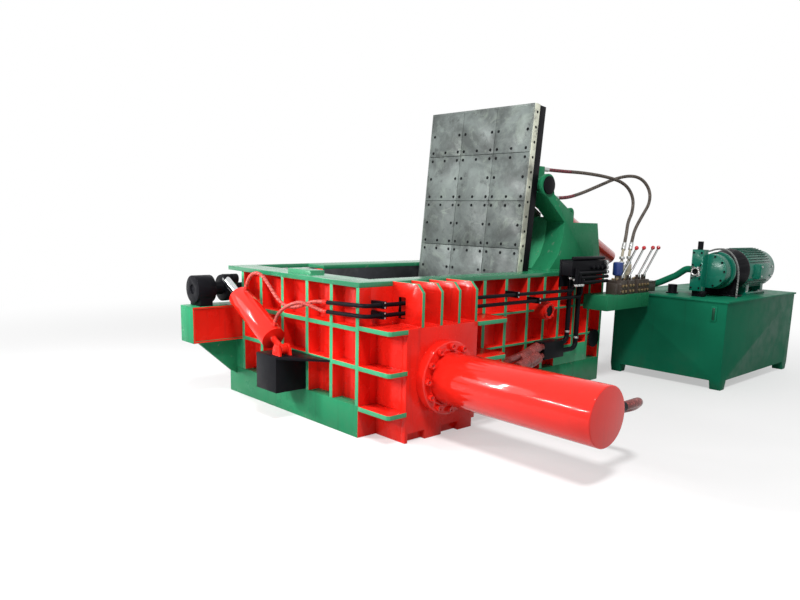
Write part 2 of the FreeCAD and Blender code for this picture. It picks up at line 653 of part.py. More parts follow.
lid_right = chamber_right - d.lid_gap
lid_left = chamber_left + d.seat_gap + d.flap_thick + d.lid_far_gap
inner_right = lid_right - d.blade_thick
inner_left = lid_left + d.blade_thick
row_pitch = (d.lid_reach - d.row_first - d.row_last) / 3
skin_front = -d.lid_front + d.lid_plate
skin_back = skin_front + d.lid_skin
cap_front = skin_back - d.lid_skin / 2
cap_low = d.lid_reach - d.lid_rib
lug_x = d.lid_cyl_x
near_inner = -lug_x + d.lug_clear / 2
near_outer = -lug_x - d.lug_clear / 2
ribs = [
    box(inner_left, inner_right, skin_front, skin_back, -d.lid_tail, cap_low),
    box(inner_left, inner_right, cap_front, d.lid_back, cap_low, d.lid_reach),
    box(inner_left, inner_left + d.lid_rib, skin_back, d.lid_back, -d.lid_tail, cap_low),
    box(inner_right - d.lid_rib, inner_right, skin_back, d.lid_back, -d.lid_tail, cap_low),
    rod("x", d.lid_tube_r, inner_left, inner_right, 0, 0),
]
for x0 in (near_inner, near_outer - d.lid_rib):
    ribs.append(box(x0, x0 + d.lid_rib, skin_back, d.lid_back, -d.lid_tail, cap_low))
    mirror_x = -(2 * press_mid) - x0 - d.lid_rib
    ribs.append(box(mirror_x, mirror_x + d.lid_rib, skin_back, d.lid_back, -d.lid_tail, cap_low))
ribs.append(box(-press_mid - d.lid_rib / 2, -press_mid + d.lid_rib / 2, skin_back,
                d.lid_back, -d.lid_tail, cap_low))
for step in range(4):
    level = d.lid_reach - d.row_first - row_pitch * step
    ribs.append(box(inner_left, inner_right, skin_back, d.lid_back - 15, level - d.lid_rib / 2,
                    level + d.lid_rib / 2))
pins = []
for side in (1, -1):
    for start, end in ((near_outer, -lug_x - d.lid_eye_wide / 2 - d.lug_gap),
                       (-lug_x + d.lid_eye_wide / 2 + d.lug_gap, near_inner)):
        if side < 0:
            start, end = -(2 * press_mid) - end, -(2 * press_mid) - start
        pins.append(rod("x", d.lug_pin_r, start, end, d.lug_y, d.lug_z))
lid_node("lid_frame", cut(fuse(ribs + pins), [
    rod("x", d.shaft_r + d.running_gap, inner_left - 1, inner_right + 1, 0, 0)]))

column = (inner_right - inner_left) / 3
plates = []
edges_z = [cap_low]
for step in range(4):
    edges_z.append(d.lid_reach - d.row_first - row_pitch * step)
edges_z.append(-d.lid_tail)
for top, low in zip(edges_z, edges_z[1:]):
    for step in range(3):
        plates.append(box(inner_left + column * step + d.plate_seam / 2,
                          inner_left + column * (step + 1) - d.plate_seam / 2,
                          -d.lid_front, skin_front, low + d.plate_seam, top))
lid_node("lid_liner_plates", group(plates))

blade_back = -d.lid_front + d.blade_wide
blades = [
    box(inner_right, lid_right, -d.lid_front, blade_back, -d.lid_tail, d.lid_reach),
    box(lid_left, inner_left, -d.lid_front, blade_back, -d.lid_tail, d.lid_reach),
    box(inner_left, inner_right, -d.lid_front, cap_front, cap_low, d.lid_reach),
]
lid_node("lid_blades", cut(fuse(blades), [
    rod("x", d.shaft_r + 2, lid_left - 1, lid_right + 1, 0, 0)]))

node("lid_shaft", rod("x", d.shaft_r, -(far_outer + 140), d.shaft_out, 0, 0),
     0, d.hinge_y, d.hinge_z)

# --- lid cylinders, built along Z through the trunnion, then tilted ----------------------

cyl_turn = FreeCAD.Rotation(AXES["x"], float(d.lid_cyl_tilt))
lid_barrel = fuse([
    turned([(0, -d.lid_cyl_back), (d.lid_cyl_r, -d.lid_cyl_back), (d.lid_cyl_r, d.lid_cyl_front),
            (0, d.lid_cyl_front)]),
    rod("x", d.journal_r, -(d.journal_in - d.lid_cyl_x), d.lid_cyl_x - d.journal_out, 0, 0),
])
lid_barrel = cut(lid_barrel, [
    rod("z", d.lid_cyl_bore, -(d.lid_cyl_back - 20), d.lid_cyl_front - d.lid_gland, 0, 0),
    rod("z", d.lid_rod_r + d.running_gap, 0, d.lid_cyl_front + 1, 0, 0)])
lid_piston_low = -(d.lid_cyl_back - 60)
lid_rod_end = d.lid_rod_eye - d.lug_pin_r - 15
lid_rod = fuse([
    turned([(0, lid_piston_low), (d.lid_cyl_bore - d.running_gap, lid_piston_low),
            (d.lid_cyl_bore - d.running_gap, lid_piston_low + d.lid_piston),
            (d.lid_rod_r, lid_piston_low + d.lid_piston), (d.lid_rod_r, lid_rod_end),
            (0, lid_rod_end)]),
    rod("x", d.lid_eye_r, -d.lid_eye_wide / 2, d.lid_eye_wide / 2, 0, d.lid_rod_eye),
])
far_cyl_x = -(2 * press_mid) + d.lid_cyl_x
node("lid_barrel_near", lid_barrel, -d.lid_cyl_x, d.trunnion_y, d.trunnion_z, cyl_turn)
node("lid_rod_near", lid_rod, -d.lid_cyl_x, d.trunnion_y, d.trunnion_z, cyl_turn)
flipped = doc.addObject("Part::Mirroring", "mirrored")
flipped.Source = lid_barrel
flipped.Normal = AXES["x"]
node("lid_barrel_far", flipped, far_cyl_x, d.trunnion_y, d.trunnion_z, cyl_turn)
node("lid_rod_far", lid_rod, far_cyl_x, d.trunnion_y, d.trunnion_z, cyl_turn)

# Brackets: boxed outer arm, waisted in front, with a lifting eye, and a plain inner web.
side_view = [(2720, d.rim_top), (2865, 1400), (2930, 1560), (2954, 1758), (2560, 2050),
             (2630, 2190), (2700, 2160), (2745, 2040), (3105, 1850), (3105, 1757), (3600, 1757),
             (3700, 1345), (d.box_deep, d.rim_top)]
hollow_view = [(2760, d.rim_top + 1), (2895, 1385), (2962, 1555), (2986, 1735), (3575, 1735),
               (3665, 1350), (3495, d.rim_top + 1)]
web_bore = rod("x", d.journal_r + d.running_gap, -700, -100, d.trunnion_y, d.trunnion_z)
arm = fuse([
    cut(prism("yz", side_view, -d.web_in, -d.web_out),
        [prism("yz", hollow_view, -(d.web_in - d.web_thick), -(d.web_out + d.web_thick))]),
    rod("x", d.web_boss_r, -(d.web_out + d.web_thick), -d.web_out, d.trunnion_y, d.trunnion_z),
    rod("x", d.web_boss_small, -d.web_in, -(d.web_out + d.web_thick), d.trunnion_y,
        d.trunnion_z),
    box(-(d.web_out + 130) - d.eye_thick / 2, -(d.web_out + 130) + d.eye_thick / 2,
        d.eye_y - d.eye_r, d.eye_y + d.eye_r, 1750, d.eye_z),
    rod("x", d.eye_r, -(d.web_out + 130) - d.eye_thick / 2,
        -(d.web_out + 130) + d.eye_thick / 2, d.eye_y, d.eye_z),
    box(-420, -360, 2660, 2780, 2150, 2330),
    prism("yz", [(2800, 1970), (2870, 1930), (2870, 2040), (2800, 2040)], -340, -280),
])
arm = cut(arm, [web_bore, rod("x", d.eye_hole, -600, -100, d.eye_y, d.eye_z)])
third = cut(fuse([
    prism("yz", side_view, -d.web_third, -(d.web_third - d.web_third_thick)),
    rod("x", d.web_boss_small, -d.web_third, -(d.web_third - d.web_third_thick), d.trunnion_y,
        d.trunnion_z)]), [web_bore])
bracket = group([arm, third])
node("lid_bracket_near", bracket)
node("lid_bracket_far", across(bracket))
near_cap = rod("x", d.cap_r, -d.web_out, -(d.web_out - d.cap_out), d.trunnion_y, d.trunnion_z)
node("trunnion_caps", group([near_cap, across(near_cap)]))

# --- turn-out gear ----------------------------------------------------------------------

beam = [
    box(-beam_left, -beam_right, -d.beam_end, d.left_rib, d.beam_top - d.beam_plate,
        d.beam_top),
    box(-beam_left, -beam_right, -d.beam_end, d.left_rib, d.beam_low,
        d.beam_low + d.beam_plate),
    box(-beam_left, -beam_right, -d.beam_end, -d.beam_end + d.beam_plate, d.beam_low,
        d.beam_top),
    box(-beam_left + 10, -beam_left + 10 + d.beam_web, -d.beam_end, d.left_rib, d.beam_low,
        d.beam_top),
    box(-beam_right - 10 - d.beam_web, -beam_right - 10, -d.beam_end, d.left_rib,
        d.beam_low, d.beam_top),
    box(-beam_left + 45, -beam_right, 0, d.left_rib, d.skirt_top, d.beam_low),
    prism("yz", [(-420, d.beam_low), (0, d.beam_low), (0, 200), (-60, 230)], -beam_left + 95,
          -beam_left + 135),
]
node("turnout_beam", fuse(beam))

bearing = fuse([
    rod("y", d.drum_r, -d.drum_end, -d.drum_from, -turn_x, d.turn_z),
    box(-turn_x - 100, -turn_x + 100, -(d.drum_end - 25), -(d.drum_from + 28), d.beam_top,
        d.turn_z - 60),
])
node("turnout_bearing", cut(bearing, [
    rod("y", d.turn_r + d.running_gap, -d.drum_end - 1, -d.drum_from + 1, -turn_x,
        d.turn_z)]))

crank_out = turn_x - d.crank_dx
crank_up = d.turn_z + d.crank_dz
crank = fuse([
    rod("y", d.turn_r, -d.drum_end + 10, 1018, -turn_x, d.turn_z),
    rod("y", d.neck_r, -d.drum_from + 2, -d.crank_to, -turn_x, d.turn_z),
    rod("y", d.crank_disc, -d.crank_from, -d.crank_to, -turn_x, d.turn_z),
    rod("y", d.crank_boss, -d.crank_from, -d.crank_to, -crank_out, crank_up),
    prism("xz", [(-turn_x - 40, d.turn_z + 105), (-turn_x + 60, d.turn_z - 100),
                 (-crank_out + 30, crank_up - 30), (-crank_out - 20, crank_up + 40)],
          -d.crank_from, -d.crank_to),
    rod("y", d.crank_pin_r, -(d.crank_from + 10), -d.crank_from, -crank_out, crank_up),
])
node("turnout_shaft", crank)

flap_face = chamber_left + d.seat_gap
tray_low = d.floor_top - d.tray_thick
flap = [
    box(flap_face, tray_end, d.flap_left, d.flap_right, tray_low, d.floor_top),
    box(flap_face, flap_face + d.flap_thick, d.flap_left, d.flap_right, tray_low, d.flap_top),
]
flap.append(box(-turn_x + d.guard_set, -turn_x + d.guard_set + d.flap_thick - 2, d.flap_left,
                d.flap_right, d.arm_low, d.turn_z + d.guard_up))
for y0 in (d.arm_first, d.arm_second):
    flap.append(prism("xz", [(-turn_x - 30, d.turn_z + 70), (-turn_x, d.arm_low),
                             (flap_face, d.arm_low), (flap_face, d.flap_top)],
                      y0, y0 + d.arm_thick))
    flap.append(rod("y", d.hub_r, y0 - 10, y0 + d.arm_thick + 10, -turn_x, d.turn_z))
node("turnout_flipper", cut(fuse(flap), [
    rod("y", d.turn_r + d.running_gap, d.flap_left - 5, d.flap_right + 5, -turn_x, d.turn_z)]))

# Turn-out cylinder, built along Z from its lower pivot, then tilted.
turn_dx = float(turn_x - d.crank_dx - d.pivot_x)
turn_dz = float(d.turn_z + d.crank_dz - d.pivot_z)
turn_long = math.hypot(turn_dx, turn_dz)
turn_tilt = FreeCAD.Rotation(AXES["y"], -math.degrees(math.atan2(turn_dx, turn_dz)))
turn_barrel = fuse([
    rod("z", d.turn_cyl_r, d.turn_cyl_from, d.turn_cyl_to, 0, 0),
    rod("z", 28, 0, d.turn_cyl_from, 0, 0),
    rod("y", 45, -30, 30, 0, 0),
    rod("x", 16, 100, 145, 0, 740),
    rod("x", 16, 100, 145, 0, 200),
])
turn_barrel = cut(turn_barrel, [
    rod("y", d.turn_pin_r + d.running_gap, -40, 40, 0, 0),
    rod("z", d.turn_cyl_bore, d.turn_cyl_from + 25, d.turn_cyl_to - 35, 0, 0),
    rod("z", d.turn_rod_r + d.running_gap, d.turn_cyl_to - 40, d.turn_cyl_to + 1, 0, 0)])
node("turnout_barrel", turn_barrel, -d.pivot_x, -d.turn_cyl_y, d.pivot_z, turn_tilt)
turn_rod = fuse([
    turned([(0, d.turn_piston), (d.turn_cyl_bore - d.running_gap, d.turn_piston),
            (d.turn_cyl_bore - d.running_gap, d.turn_piston + 40),
            (d.turn_rod_r, d.turn_piston + 40), (d.turn_rod_r, turn_long), (0, turn_long)]),
    rod("y", 45, -d.turn_eye_wide / 2, d.turn_eye_wide / 2, 0, turn_long),
])
node("turnout_rod", turn_rod, -d.pivot_x, -d.turn_cyl_y, d.pivot_z, turn_tilt)

stand_low = 270
stand_high = 560
lugs = [
    cut(box(-1030, -720, -300, 0, stand_low, stand_high),
        [box(-1005, -745, -270, -20, stand_low - 1, stand_high - 20)]),
    prism("xy", [(-1030, -300), (-720, -300), (-372, 0), (-1030, 0)], stand_high,
          stand_high + 20),
    rod("y", d.turn_pin_r, -d.turn_cyl_y - 65, -d.turn_cyl_y + 65, -d.pivot_x, d.pivot_z),
]
ear = [(-60, stand_high + 10), (60, stand_high + 10), (50, d.pivot_z + 10),
       (30, d.pivot_z + 45), (-30, d.pivot_z + 45), (-50, d.pivot_z + 10)]
for y0 in (-60, 40):
    lugs.append(prism("xz", [(a - d.pivot_x, b) for a, b in ear], -d.turn_cyl_y + y0,
                      -d.turn_cyl_y + y0 + 20))
node("turnout_bracket", fuse(lugs))

# --- pipework ----------------------------------------------------------------------------

px = float(d.pipe_x)
py = -float(d.pipe_y)
upper_pipe = sweep([(-370, py, 1062), (px, py, 1083), (px, 2750, 1068), (px, 2750, 1220)],
                   d.pipe_r, 60)
lower_pipe = sweep([(-370, py, 985), (px, py, 1000), (px, 2887, 996), (px, 2887, 1220)],
                   d.pipe_r, 60)
tubes("main_pipes", [upper_pipe, lower_pipe])

# Each clamp is a small block from the wall's rib to the pipe that it holds.
clamps = []
for y0, start, fall in ((140, 1083, 15 / 2780), (140, 1000, 4 / 2917), (1798, 1083, 15 / 2780),
                        (2139, 1000, 4 / 2917)):
    level = start - fall * (y0 + d.pipe_y)
    clamps.append(cut(box(0, d.pipe_x + 26, y0 - 20, y0 + 20, level - 28, level + 28), [
        rod("y", d.pipe_r + d.seat_gap, y0 - 21, y0 + 21, d.pipe_x, level)]))
node("pipe_clamps", group(clamps))

drop = float(d.drop_x)
drops = [
    sweep([(drop, 2762, 1220), (drop, 2762, 520), (drop, 2600, 520)], d.drop_r, 75),
    sweep([(drop, 2932, 1220), (drop, 2932, 430), (drop, 2600, 430)], d.drop_r, 75),
    sweep([(drop + 50, 2270, 520), (drop + 60, 1740, 450), (300, 1300, 430), (540, 1100, 495),
           (540, 855, 495)], d.wrap_r, 140),
    sweep([(drop + 50, 2270, 430), (drop + 60, 1900, 330), (420, 1500, 220), (1200, 1300, 200),
           (1700, 1260, 420), (1800, 1160, 495), (1800, 940, 495)], d.wrap_r, 110),
]
drop_set = doc.addObject("Part::Feature", "tube")
drop_set.Shape = Part.makeCompound(drops)
connector = box(0, drop + 50 + d.wrap_r, 2270, 2600, 390, 562)
node("drop_pipes", group([drop_set, connector]))

manifold = [box(0, 20, 2640, 3310, 1100, 1380), box(20, 150, 2650, 3300, 1220, 1370)]
for y0 in (3000, 3080, 3160, 3240):
    manifold.append(rod("x", 20, 150, 185, y0, 1300))
node("pipe_manifold", fuse(manifold))

tubes("lid_hose_front", [sweep([
    (-390, 2780.3, 2304), (-390, 3110, 2304), (-335, 3455, 2310), (-215, 3790, 2280),
    (-150, 4060, 2222), (-100, 4180, 2073), (-50, 4100, 1900), (20, 3890, 1780),
    (110, 3724, 1639), (150, 3614, 1477)], d.hose_r)])
tubes("lid_hose_rear", [sweep([
    (-310, 2870.3, 2012), (-310, 3085, 2012), (-305, 3370, 2070), (-300, 3735, 2178),
    (-275, 4055, 2283), (-215, 4305, 2330), (-150, 4460, 2290), (-95, 4550, 2160),
    (-45, 4470, 2010), (0, 4260, 1880), (50, 4010, 1710), (120, 3844.5, 1598.5),
    (150, 3762, 1477)], d.hose_r)])

tilt = turn_tilt.multVec(FreeCAD.Vector(1, 0, 0))
along = turn_tilt.multVec(FreeCAD.Vector(0, 0, 1))
foot = FreeCAD.Vector(-float(d.pivot_x), -float(d.turn_cyl_y), float(d.pivot_z))
upper_start = foot + along * 740 + tilt * 145.3
lower_start = foot + along * 200 + tilt * 145.3
upper_next = upper_start + tilt * 85
lower_next = lower_start + tilt * 75
tubes("turnout_hose_upper", [sweep([
    tuple(upper_start), tuple(upper_next), (-1250, -180, 1245), (-1155, -160, 1235),
    (-1070, -135, 1135), (-980, -110, 1025), (-865, -85, 970), (-715, -62, 990),
    (-545, -30, 1062), (-371.2, -30, 1062)], d.turn_hose_r)])
tubes("turnout_hose_lower", [sweep([
    tuple(lower_start), tuple(lower_next), (-790, -178, 975), (-725, -150, 1015),
    (-635, -118, 1045), (-550, -75, 1022), (-462, -30, 985), (-371.2, -30, 985)],
    d.turn_hose_r)])

# --- valve stand, valves and levers -------------------------------------------------------

stand_to = d.tank_front - d.stand_gap
stand_from = smaller(stand_to - d.stand_long, d.box_deep - d.stand_out)
node("valve_stand", cut(
    box(0, d.stand_out, stand_from, stand_to, d.stand_low, d.stand_top),
    [box(-1, d.stand_out - d.stand_wall, stand_from + d.stand_wall, stand_to - d.stand_wall,
         d.stand_low - 1, d.stand_top - d.stand_wall)]))

valve_from = stand_from + d.valve_set
valve_to = stand_to + d.valve_over
lever_ys = [stand_from + along for along in (325, 480, 675, 800)]
ear_gap = d.lever_hub_wide / 2 + 1
valves = [box(d.valve_in + 30, d.valve_out - 30, valve_from, valve_to, d.stand_top, 1120)]
for y0 in lever_ys:
    valves.append(box(d.valve_in, d.valve_out, y0 - 62, y0 + 62, d.stand_top, d.valve_top))
    for start, end in ((-ear_gap - 8, -ear_gap), (ear_gap, ear_gap + 8)):
        valves.append(box(d.lever_x - 16, d.lever_x + 16, y0 + start, y0 + end, d.valve_top - 1,
                          d.lever_z + 18))
    valves.append(rod("y", d.lever_pin_r, y0 - ear_gap - 8, y0 + ear_gap + 8, d.lever_x,
                      d.lever_z))
for y0 in (float(stand_from) + 455, float(stand_from) + 603):
    riser = doc.addObject("Part::Feature", "riser")
    riser.Shape = sweep([(165, y0, 1140), (165, y0, 1420), (150.2, y0 + 38.5, 1476.3)], 15, 40)
    valves.append(riser)
node("valve_block", fuse(valves))

lever = cut(fuse([
    rod("y", d.lever_hub_r, -d.lever_hub_wide / 2, d.lever_hub_wide / 2, 0, 0),
    rod("z", d.lever_r, 0, d.lever_long, 0, 0),
]), [rod("y", d.lever_pin_r + d.running_gap, -30, 30, 0, 0)])
knob = doc.addObject("Part::Sphere", "knob")
bind(knob, "Radius", d.knob_r)
place(knob, 0, 0, d.lever_long)
lever = fuse([lever, knob])
lever_turn = FreeCAD.Rotation(AXES["y"], float(d.lever_tilt))
for count, y0 in enumerate(lever_ys, start=1):
    node("lever_%d" % count, lever, d.lever_x, y0, d.lever_z, lever_turn)

# --- power pack --------------------------------------------------------------------------

lip_low = d.tank_top - d.tank_lip
tank_back = d.tank_front + d.tank_long
pump_back = d.tank_front + 338
pump_ring = pump_back + 190
bell_from = pump_ring + 30
motor_from = d.tank_front + d.motor_set
motor_to = motor_from + d.motor_long
tank = [
    box(-d.tank_left + 15, d.tank_right - 15, d.tank_front + 15, tank_back - 15, d.tank_low,
        lip_low),
    box(-d.tank_left, d.tank_right, d.tank_front, tank_back, lip_low, d.tank_top),
]
for x0 in (-d.tank_left + 15, d.tank_right - 15 - 120):
    for y0 in (d.tank_front + 15, tank_back - 15 - 160):
        tank.append(prism("yz", [(y0, d.tank_low), (y0 + 30, 0), (y0 + 130, 0),
                                 (y0 + 160, d.tank_low)], x0, x0 + 120))
node("oil_tank", fuse(tank))
node("level_gauge", fuse([
    box(d.tank_right - 183, d.tank_right - 121, d.tank_front + 3, d.tank_front + 15, 750, 913),
    box(d.tank_right - 168, d.tank_right - 136, d.tank_front - 5, d.tank_front + 3, 765, 898)]))
node("filler_cap", fuse([
    rod("z", 70, d.tank_top, d.tank_top + 15, 370, d.tank_front + 368),
    rod("z", 52, d.tank_top + 15, d.tank_top + 105, 370, d.tank_front + 368)]))

pump = [
    box(660, 790, pump_back - 90, pump_back, d.tank_top, 1040),
    box(640, 770, pump_back - 120, pump_back, 1040, 1500),
    rod("z", 30, 1500, 1590, 700, pump_back - 60),
    rod("y", d.pump_r, pump_back, pump_back + 140, d.pump_x, d.pump_z),
    rod("y", d.pump_neck_r, pump_back + 140, pump_ring, d.pump_x, d.pump_z),
    rod("y", d.pump_r + 20, pump_ring, bell_from, d.pump_x, d.pump_z),
]
node("pump_unit", cut(fuse(pump), [
    rod("y", 45, pump_back - 130, pump_back - 50, 700, 1255)]))
bell = [cone("y", 165, d.motor_r + 10, bell_from, motor_from - 30, d.pump_x, d.pump_z),
        rod("y", d.motor_r + 10, motor_from - 30, motor_from, d.pump_x, d.pump_z)]
node("bell_housing", fuse(bell))
motor = [
    rod("y", d.motor_r, motor_from, motor_to - 120, d.pump_x, d.pump_z),
    rod("y", d.motor_r - 12, motor_to - 120, motor_to, d.pump_x, d.pump_z),
    box(d.pump_x - 190, d.pump_x + 190, motor_from + 100, motor_from + 650, d.tank_top, 1010),
    box(d.pump_x - 170, d.pump_x + 170, motor_from + 120, motor_from + 200, 1010, 1120),
    box(d.pump_x - 170, d.pump_x + 170, motor_from + 550, motor_from + 630, 1010, 1120),
    box(d.pump_x + d.motor_r - 40, d.pump_x + d.motor_r + 55, motor_from + 170, motor_from + 520,
        d.pump_z - 95, d.pump_z + 75),
]
node("motor", fuse(motor))
pipe_to = float(pump_back) + 80
pressure = sweep([(200, float(valve_to) + 0.3, 1075), (200, pipe_to - 120, 1075),
                  (380, pipe_to - 15, 1180), (490, pipe_to, 1265), (609.7, pipe_to, 1265)],
                 38, 90)
tubes("pressure_pipe", [pressure])
tubes("drain_hose", [sweep([
    (745, 4380.3, 1480), (745, 4455, 1480), (780, 4540, 1508), (890, 4575, 1512),
    (990, 4580, 1425), (1045, 4578, 1290), (1050, 4572, 1130), (1050, 4570, 975.3)],
    d.thin_hose_r)])

# --- checks and export --------------------------------------------------------------------

doc.recompute()
for thing in doc.Objects:
    if "Invalid" in thing.State or "Error" in thing.State:
        raise RuntimeError("failed: %s (%s)" % (thing.Name, thing.Label))
for thing in NODES:
    if thing.Shape.isNull() or not thing.Shape.isValid():
        raise RuntimeError("bad shape: " + thing.Label)
os.makedirs("parts", exist_ok=True)
for thing in NODES:
    thing.Shape.exportStep("parts/%s.step" % thing.Label)
print("%d pieces" % len(NODES))
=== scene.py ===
import math

import bpy
from mathutils import Matrix, Vector


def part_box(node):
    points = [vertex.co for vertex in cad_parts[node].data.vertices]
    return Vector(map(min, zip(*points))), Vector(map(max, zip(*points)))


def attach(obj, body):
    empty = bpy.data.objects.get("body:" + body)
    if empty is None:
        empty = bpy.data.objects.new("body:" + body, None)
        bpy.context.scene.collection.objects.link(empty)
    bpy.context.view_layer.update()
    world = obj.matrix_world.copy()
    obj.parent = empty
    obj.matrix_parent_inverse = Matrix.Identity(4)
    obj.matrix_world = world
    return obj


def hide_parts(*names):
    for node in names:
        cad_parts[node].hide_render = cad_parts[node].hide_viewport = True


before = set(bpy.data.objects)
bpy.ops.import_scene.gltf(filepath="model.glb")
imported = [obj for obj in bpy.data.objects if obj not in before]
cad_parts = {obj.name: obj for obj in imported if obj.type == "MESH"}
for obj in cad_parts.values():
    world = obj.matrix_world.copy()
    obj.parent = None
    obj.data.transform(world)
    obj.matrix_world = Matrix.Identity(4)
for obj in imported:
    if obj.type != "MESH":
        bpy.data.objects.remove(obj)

bl_info = {
    "name": "Scrap Metal Baler",
    "version": (1, 0, 0),
    "blender": (4, 5, 0),
    "location": "View3D > Sidebar > Baler",
    "description": "Dresses the packed scrap metal baler with worked pieces, paint and a studio",
    "category": "Object",
}

# Places below are metres in press coordinates, as in the part's source: x = 0 is the face
# that carries the main cylinder, y = 0 the turn-out end and z = 0 the floor.
RIM_LOW, RIM_HIGH = (Vector(corner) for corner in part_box("rim_plate"))
PRESS_CORNER = Vector((RIM_HIGH.x, RIM_LOW.y, 0.0))

# The press box: the Y where its base turns from red to green, the middles of the upright
# ribs on the left wall in X and on the right wall in Y, the weld on each side of a rib, and
# the level where these welds end.
BASE_RED = 1.43
LEFT_RIBS = (-0.362, -0.705, -1.085, -1.439)
RIGHT_RIBS = (1.484, 1.798, 2.139, 2.409)
RIB_SIDES = (-0.022, 0.022)
RIB_TOP = 1.205
# The axis of the main cylinder in Y and Z, the radius of its screws' circle, and the middle
# of the first gusset above it with the step to the next one in Y.
MAIN_AXIS = (0.598, 0.495)
SCREW_CIRCLE = 0.260
GUSSET_FIRST = 0.360
GUSSET_PITCH = 0.206

# The lid: its lean and its hinge line. Then, along the lid from that line, the levels
# between its rows of plates and the row that is darker; the seam round each plate, the
# plates' right and left edge in X and how far their face stands off the hinge line.
LID_LEAN = math.radians(5.27)
LID_HINGE = Vector((0.0, 2.338, 0.880))
LID_ROWS = (2.010, 1.555, 1.070, 0.585, 0.100, -0.040)
LID_COLUMNS = 3
DARK_ROW = (LID_ROWS[3], LID_ROWS[2])
PLATES_LOW, PLATES_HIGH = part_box("lid_liner_plates")
PLATE_SEAM = 0.002
LID_EDGES = (PLATES_HIGH[0] + PLATE_SEAM - PRESS_CORNER.x,
             PLATES_LOW[0] - PLATE_SEAM - PRESS_CORNER.x)
LID_FACE = -0.120
# The strips on the lid's sides: how far their face stands off the plates' edge and their
# middle behind the plates' face; then how many screws they have, the first one and the step.
STRIP_OUT = 0.0192
STRIP_MIDDLE = 0.042
STRIP_SCREWS, STRIP_FIRST, STRIP_STEP = 14, 0.030, 0.148
# The sloping front of the lid's brackets in Y and Z, the gaps between their webs in X and
# the level of the welds at their feet.
BRACKET_FRONT = ((2.722, 1.250), (2.870, 1.400), (2.935, 1.560), (2.950, 1.690), (2.952, 1.810))
BRACKET_GAPS = ((-0.649, -0.421), (-1.519, -1.291))
BRACKET_TOE = 1.253

# Hand levers in Y, risers in Y with their X, and the axis of pump and motor in X and Z.
# Small bent pipes in Y and Z, with their common X and radius. The motor's fins: steps round
# a full turn, and the radius to their middle. Where the lid hoses' sleeves end, as a Y of
# the frame.
LEVER_ROW = (3.445, 3.600, 3.795, 3.920)
RISER_ROW = (3.575, 3.723)
RISER_X = 0.165
PUMP_AXIS = (0.800, 1.265)
BUNDLE = ((2.700, 1.345), (2.750, 1.297), (2.800, 1.249))
BUNDLE_X = 0.174
BUNDLE_PIPE = 0.019
FIN_STEPS = 44
FIN_RADIUS = 0.243
SLEEVE_END = 1.56

# In the frame's own coordinates: narrow lamps from end to end, what they point at and their
# width, then the camera as it was fitted to the photo: its place, turn from +Y, dip, roll,
# lens in millimetres and shift.
STRIP_LAMPS = (((-1.95, -4.60, 2.27), (-1.25, -4.78, 2.25)),
               ((-0.25, -5.22, 2.13), (1.30, -5.73, 2.02)),
               ((-2.15, -4.95, 4.30), (-2.50, -5.70, 3.00)))
STRIP_TARGET = Vector((2.0, -1.3, 0.57))
STRIP_WIDTH = 0.035
CAMERA_PLACE = (5.238, -5.153, 1.7531)
CAMERA_YAW = math.radians(45.877)
CAMERA_DIP = math.radians(10.231)
CAMERA_ROLL = math.radians(1.623)
CAMERA_LENS = 31.399
CAMERA_SHIFT = (-0.02706, 0.0558)

UP, DOWN = (0, 0, 1), (0, 0, -1)
RIGHT, LEFT = (1, 0, 0), (-1, 0, 0)
BACK, FRONT = (0, 1, 0), (0, -1, 0)
QUARTER = math.pi / 2


def at(x, y, z):
    """A place in press coordinates, in the frame that the CAD uses."""
    return PRESS_CORNER + Vector((x, y, z))


def lid_place(x, y, z):
    """A place on the lid, given upright about its hinge line."""
    return PRESS_CORNER + LID_HINGE + Matrix.Rotation(-LID_LEAN, 3, "X") @ Vector((x, y, z))


# --- settings ---


def colour(label, description, default):
    return bpy.props.FloatVectorProperty(
        name=label, description=description, subtype="COLOR", size=3, min=0.0, max=1.0,
        default=default)


def amount(label, description, default, unit="NONE"):
    return bpy.props.FloatProperty(
        name=label, description=description, default=default, min=0.0, unit=unit)


def share(label, description, default):
    return bpy.props.FloatProperty(
        name=label, description=description, default=default, min=0.0, max=1.0,
        subtype="FACTOR")


class BalerPaint(bpy.types.PropertyGroup):
    """Colours of the machine's finishes."""

    red: colour("Red", "Enamel of the walls, cylinders and mounting", (0.80, 0.018, 0.010))
    green: colour("Green", "Enamel of the base, rim, brackets and plate edges",
                  (0.022, 0.235, 0.105))
    tank_green: colour("Tank green", "Enamel of the oil tank", (0.009, 0.172, 0.090))
    teal: colour("Teal", "Enamel of the pump and the motor", (0.004, 0.170, 0.110))
    black: colour("Black", "Enamel of pipes, clamps and drums", (0.007, 0.007, 0.009))
    lid_steel: colour("Lid steel", "Oiled plates on the lid's face", (0.128, 0.150, 0.142))
    strip_steel: colour("Strip steel", "Bare strips on the lid's sides", (0.60, 0.62, 0.50))
    # Near black as painted shade of the inside of the box, on top of the liners' own steel tone.
    chamber_steel: colour("Chamber steel", "Liners and floor of the chamber",
                          (0.014, 0.015, 0.018))
    braid: colour("Braid", "Textile cover of the lid's hoses", (0.130, 0.105, 0.085))
    maroon: colour("Maroon", "Sleeve at the lid end of the hoses", (0.200, 0.022, 0.040))
    wear: share("Wear", "How far rubbed spots and streaks show in the enamel", 0.35)
    dust: share("Dust", "How far floor dust climbs the machine", 0.14)


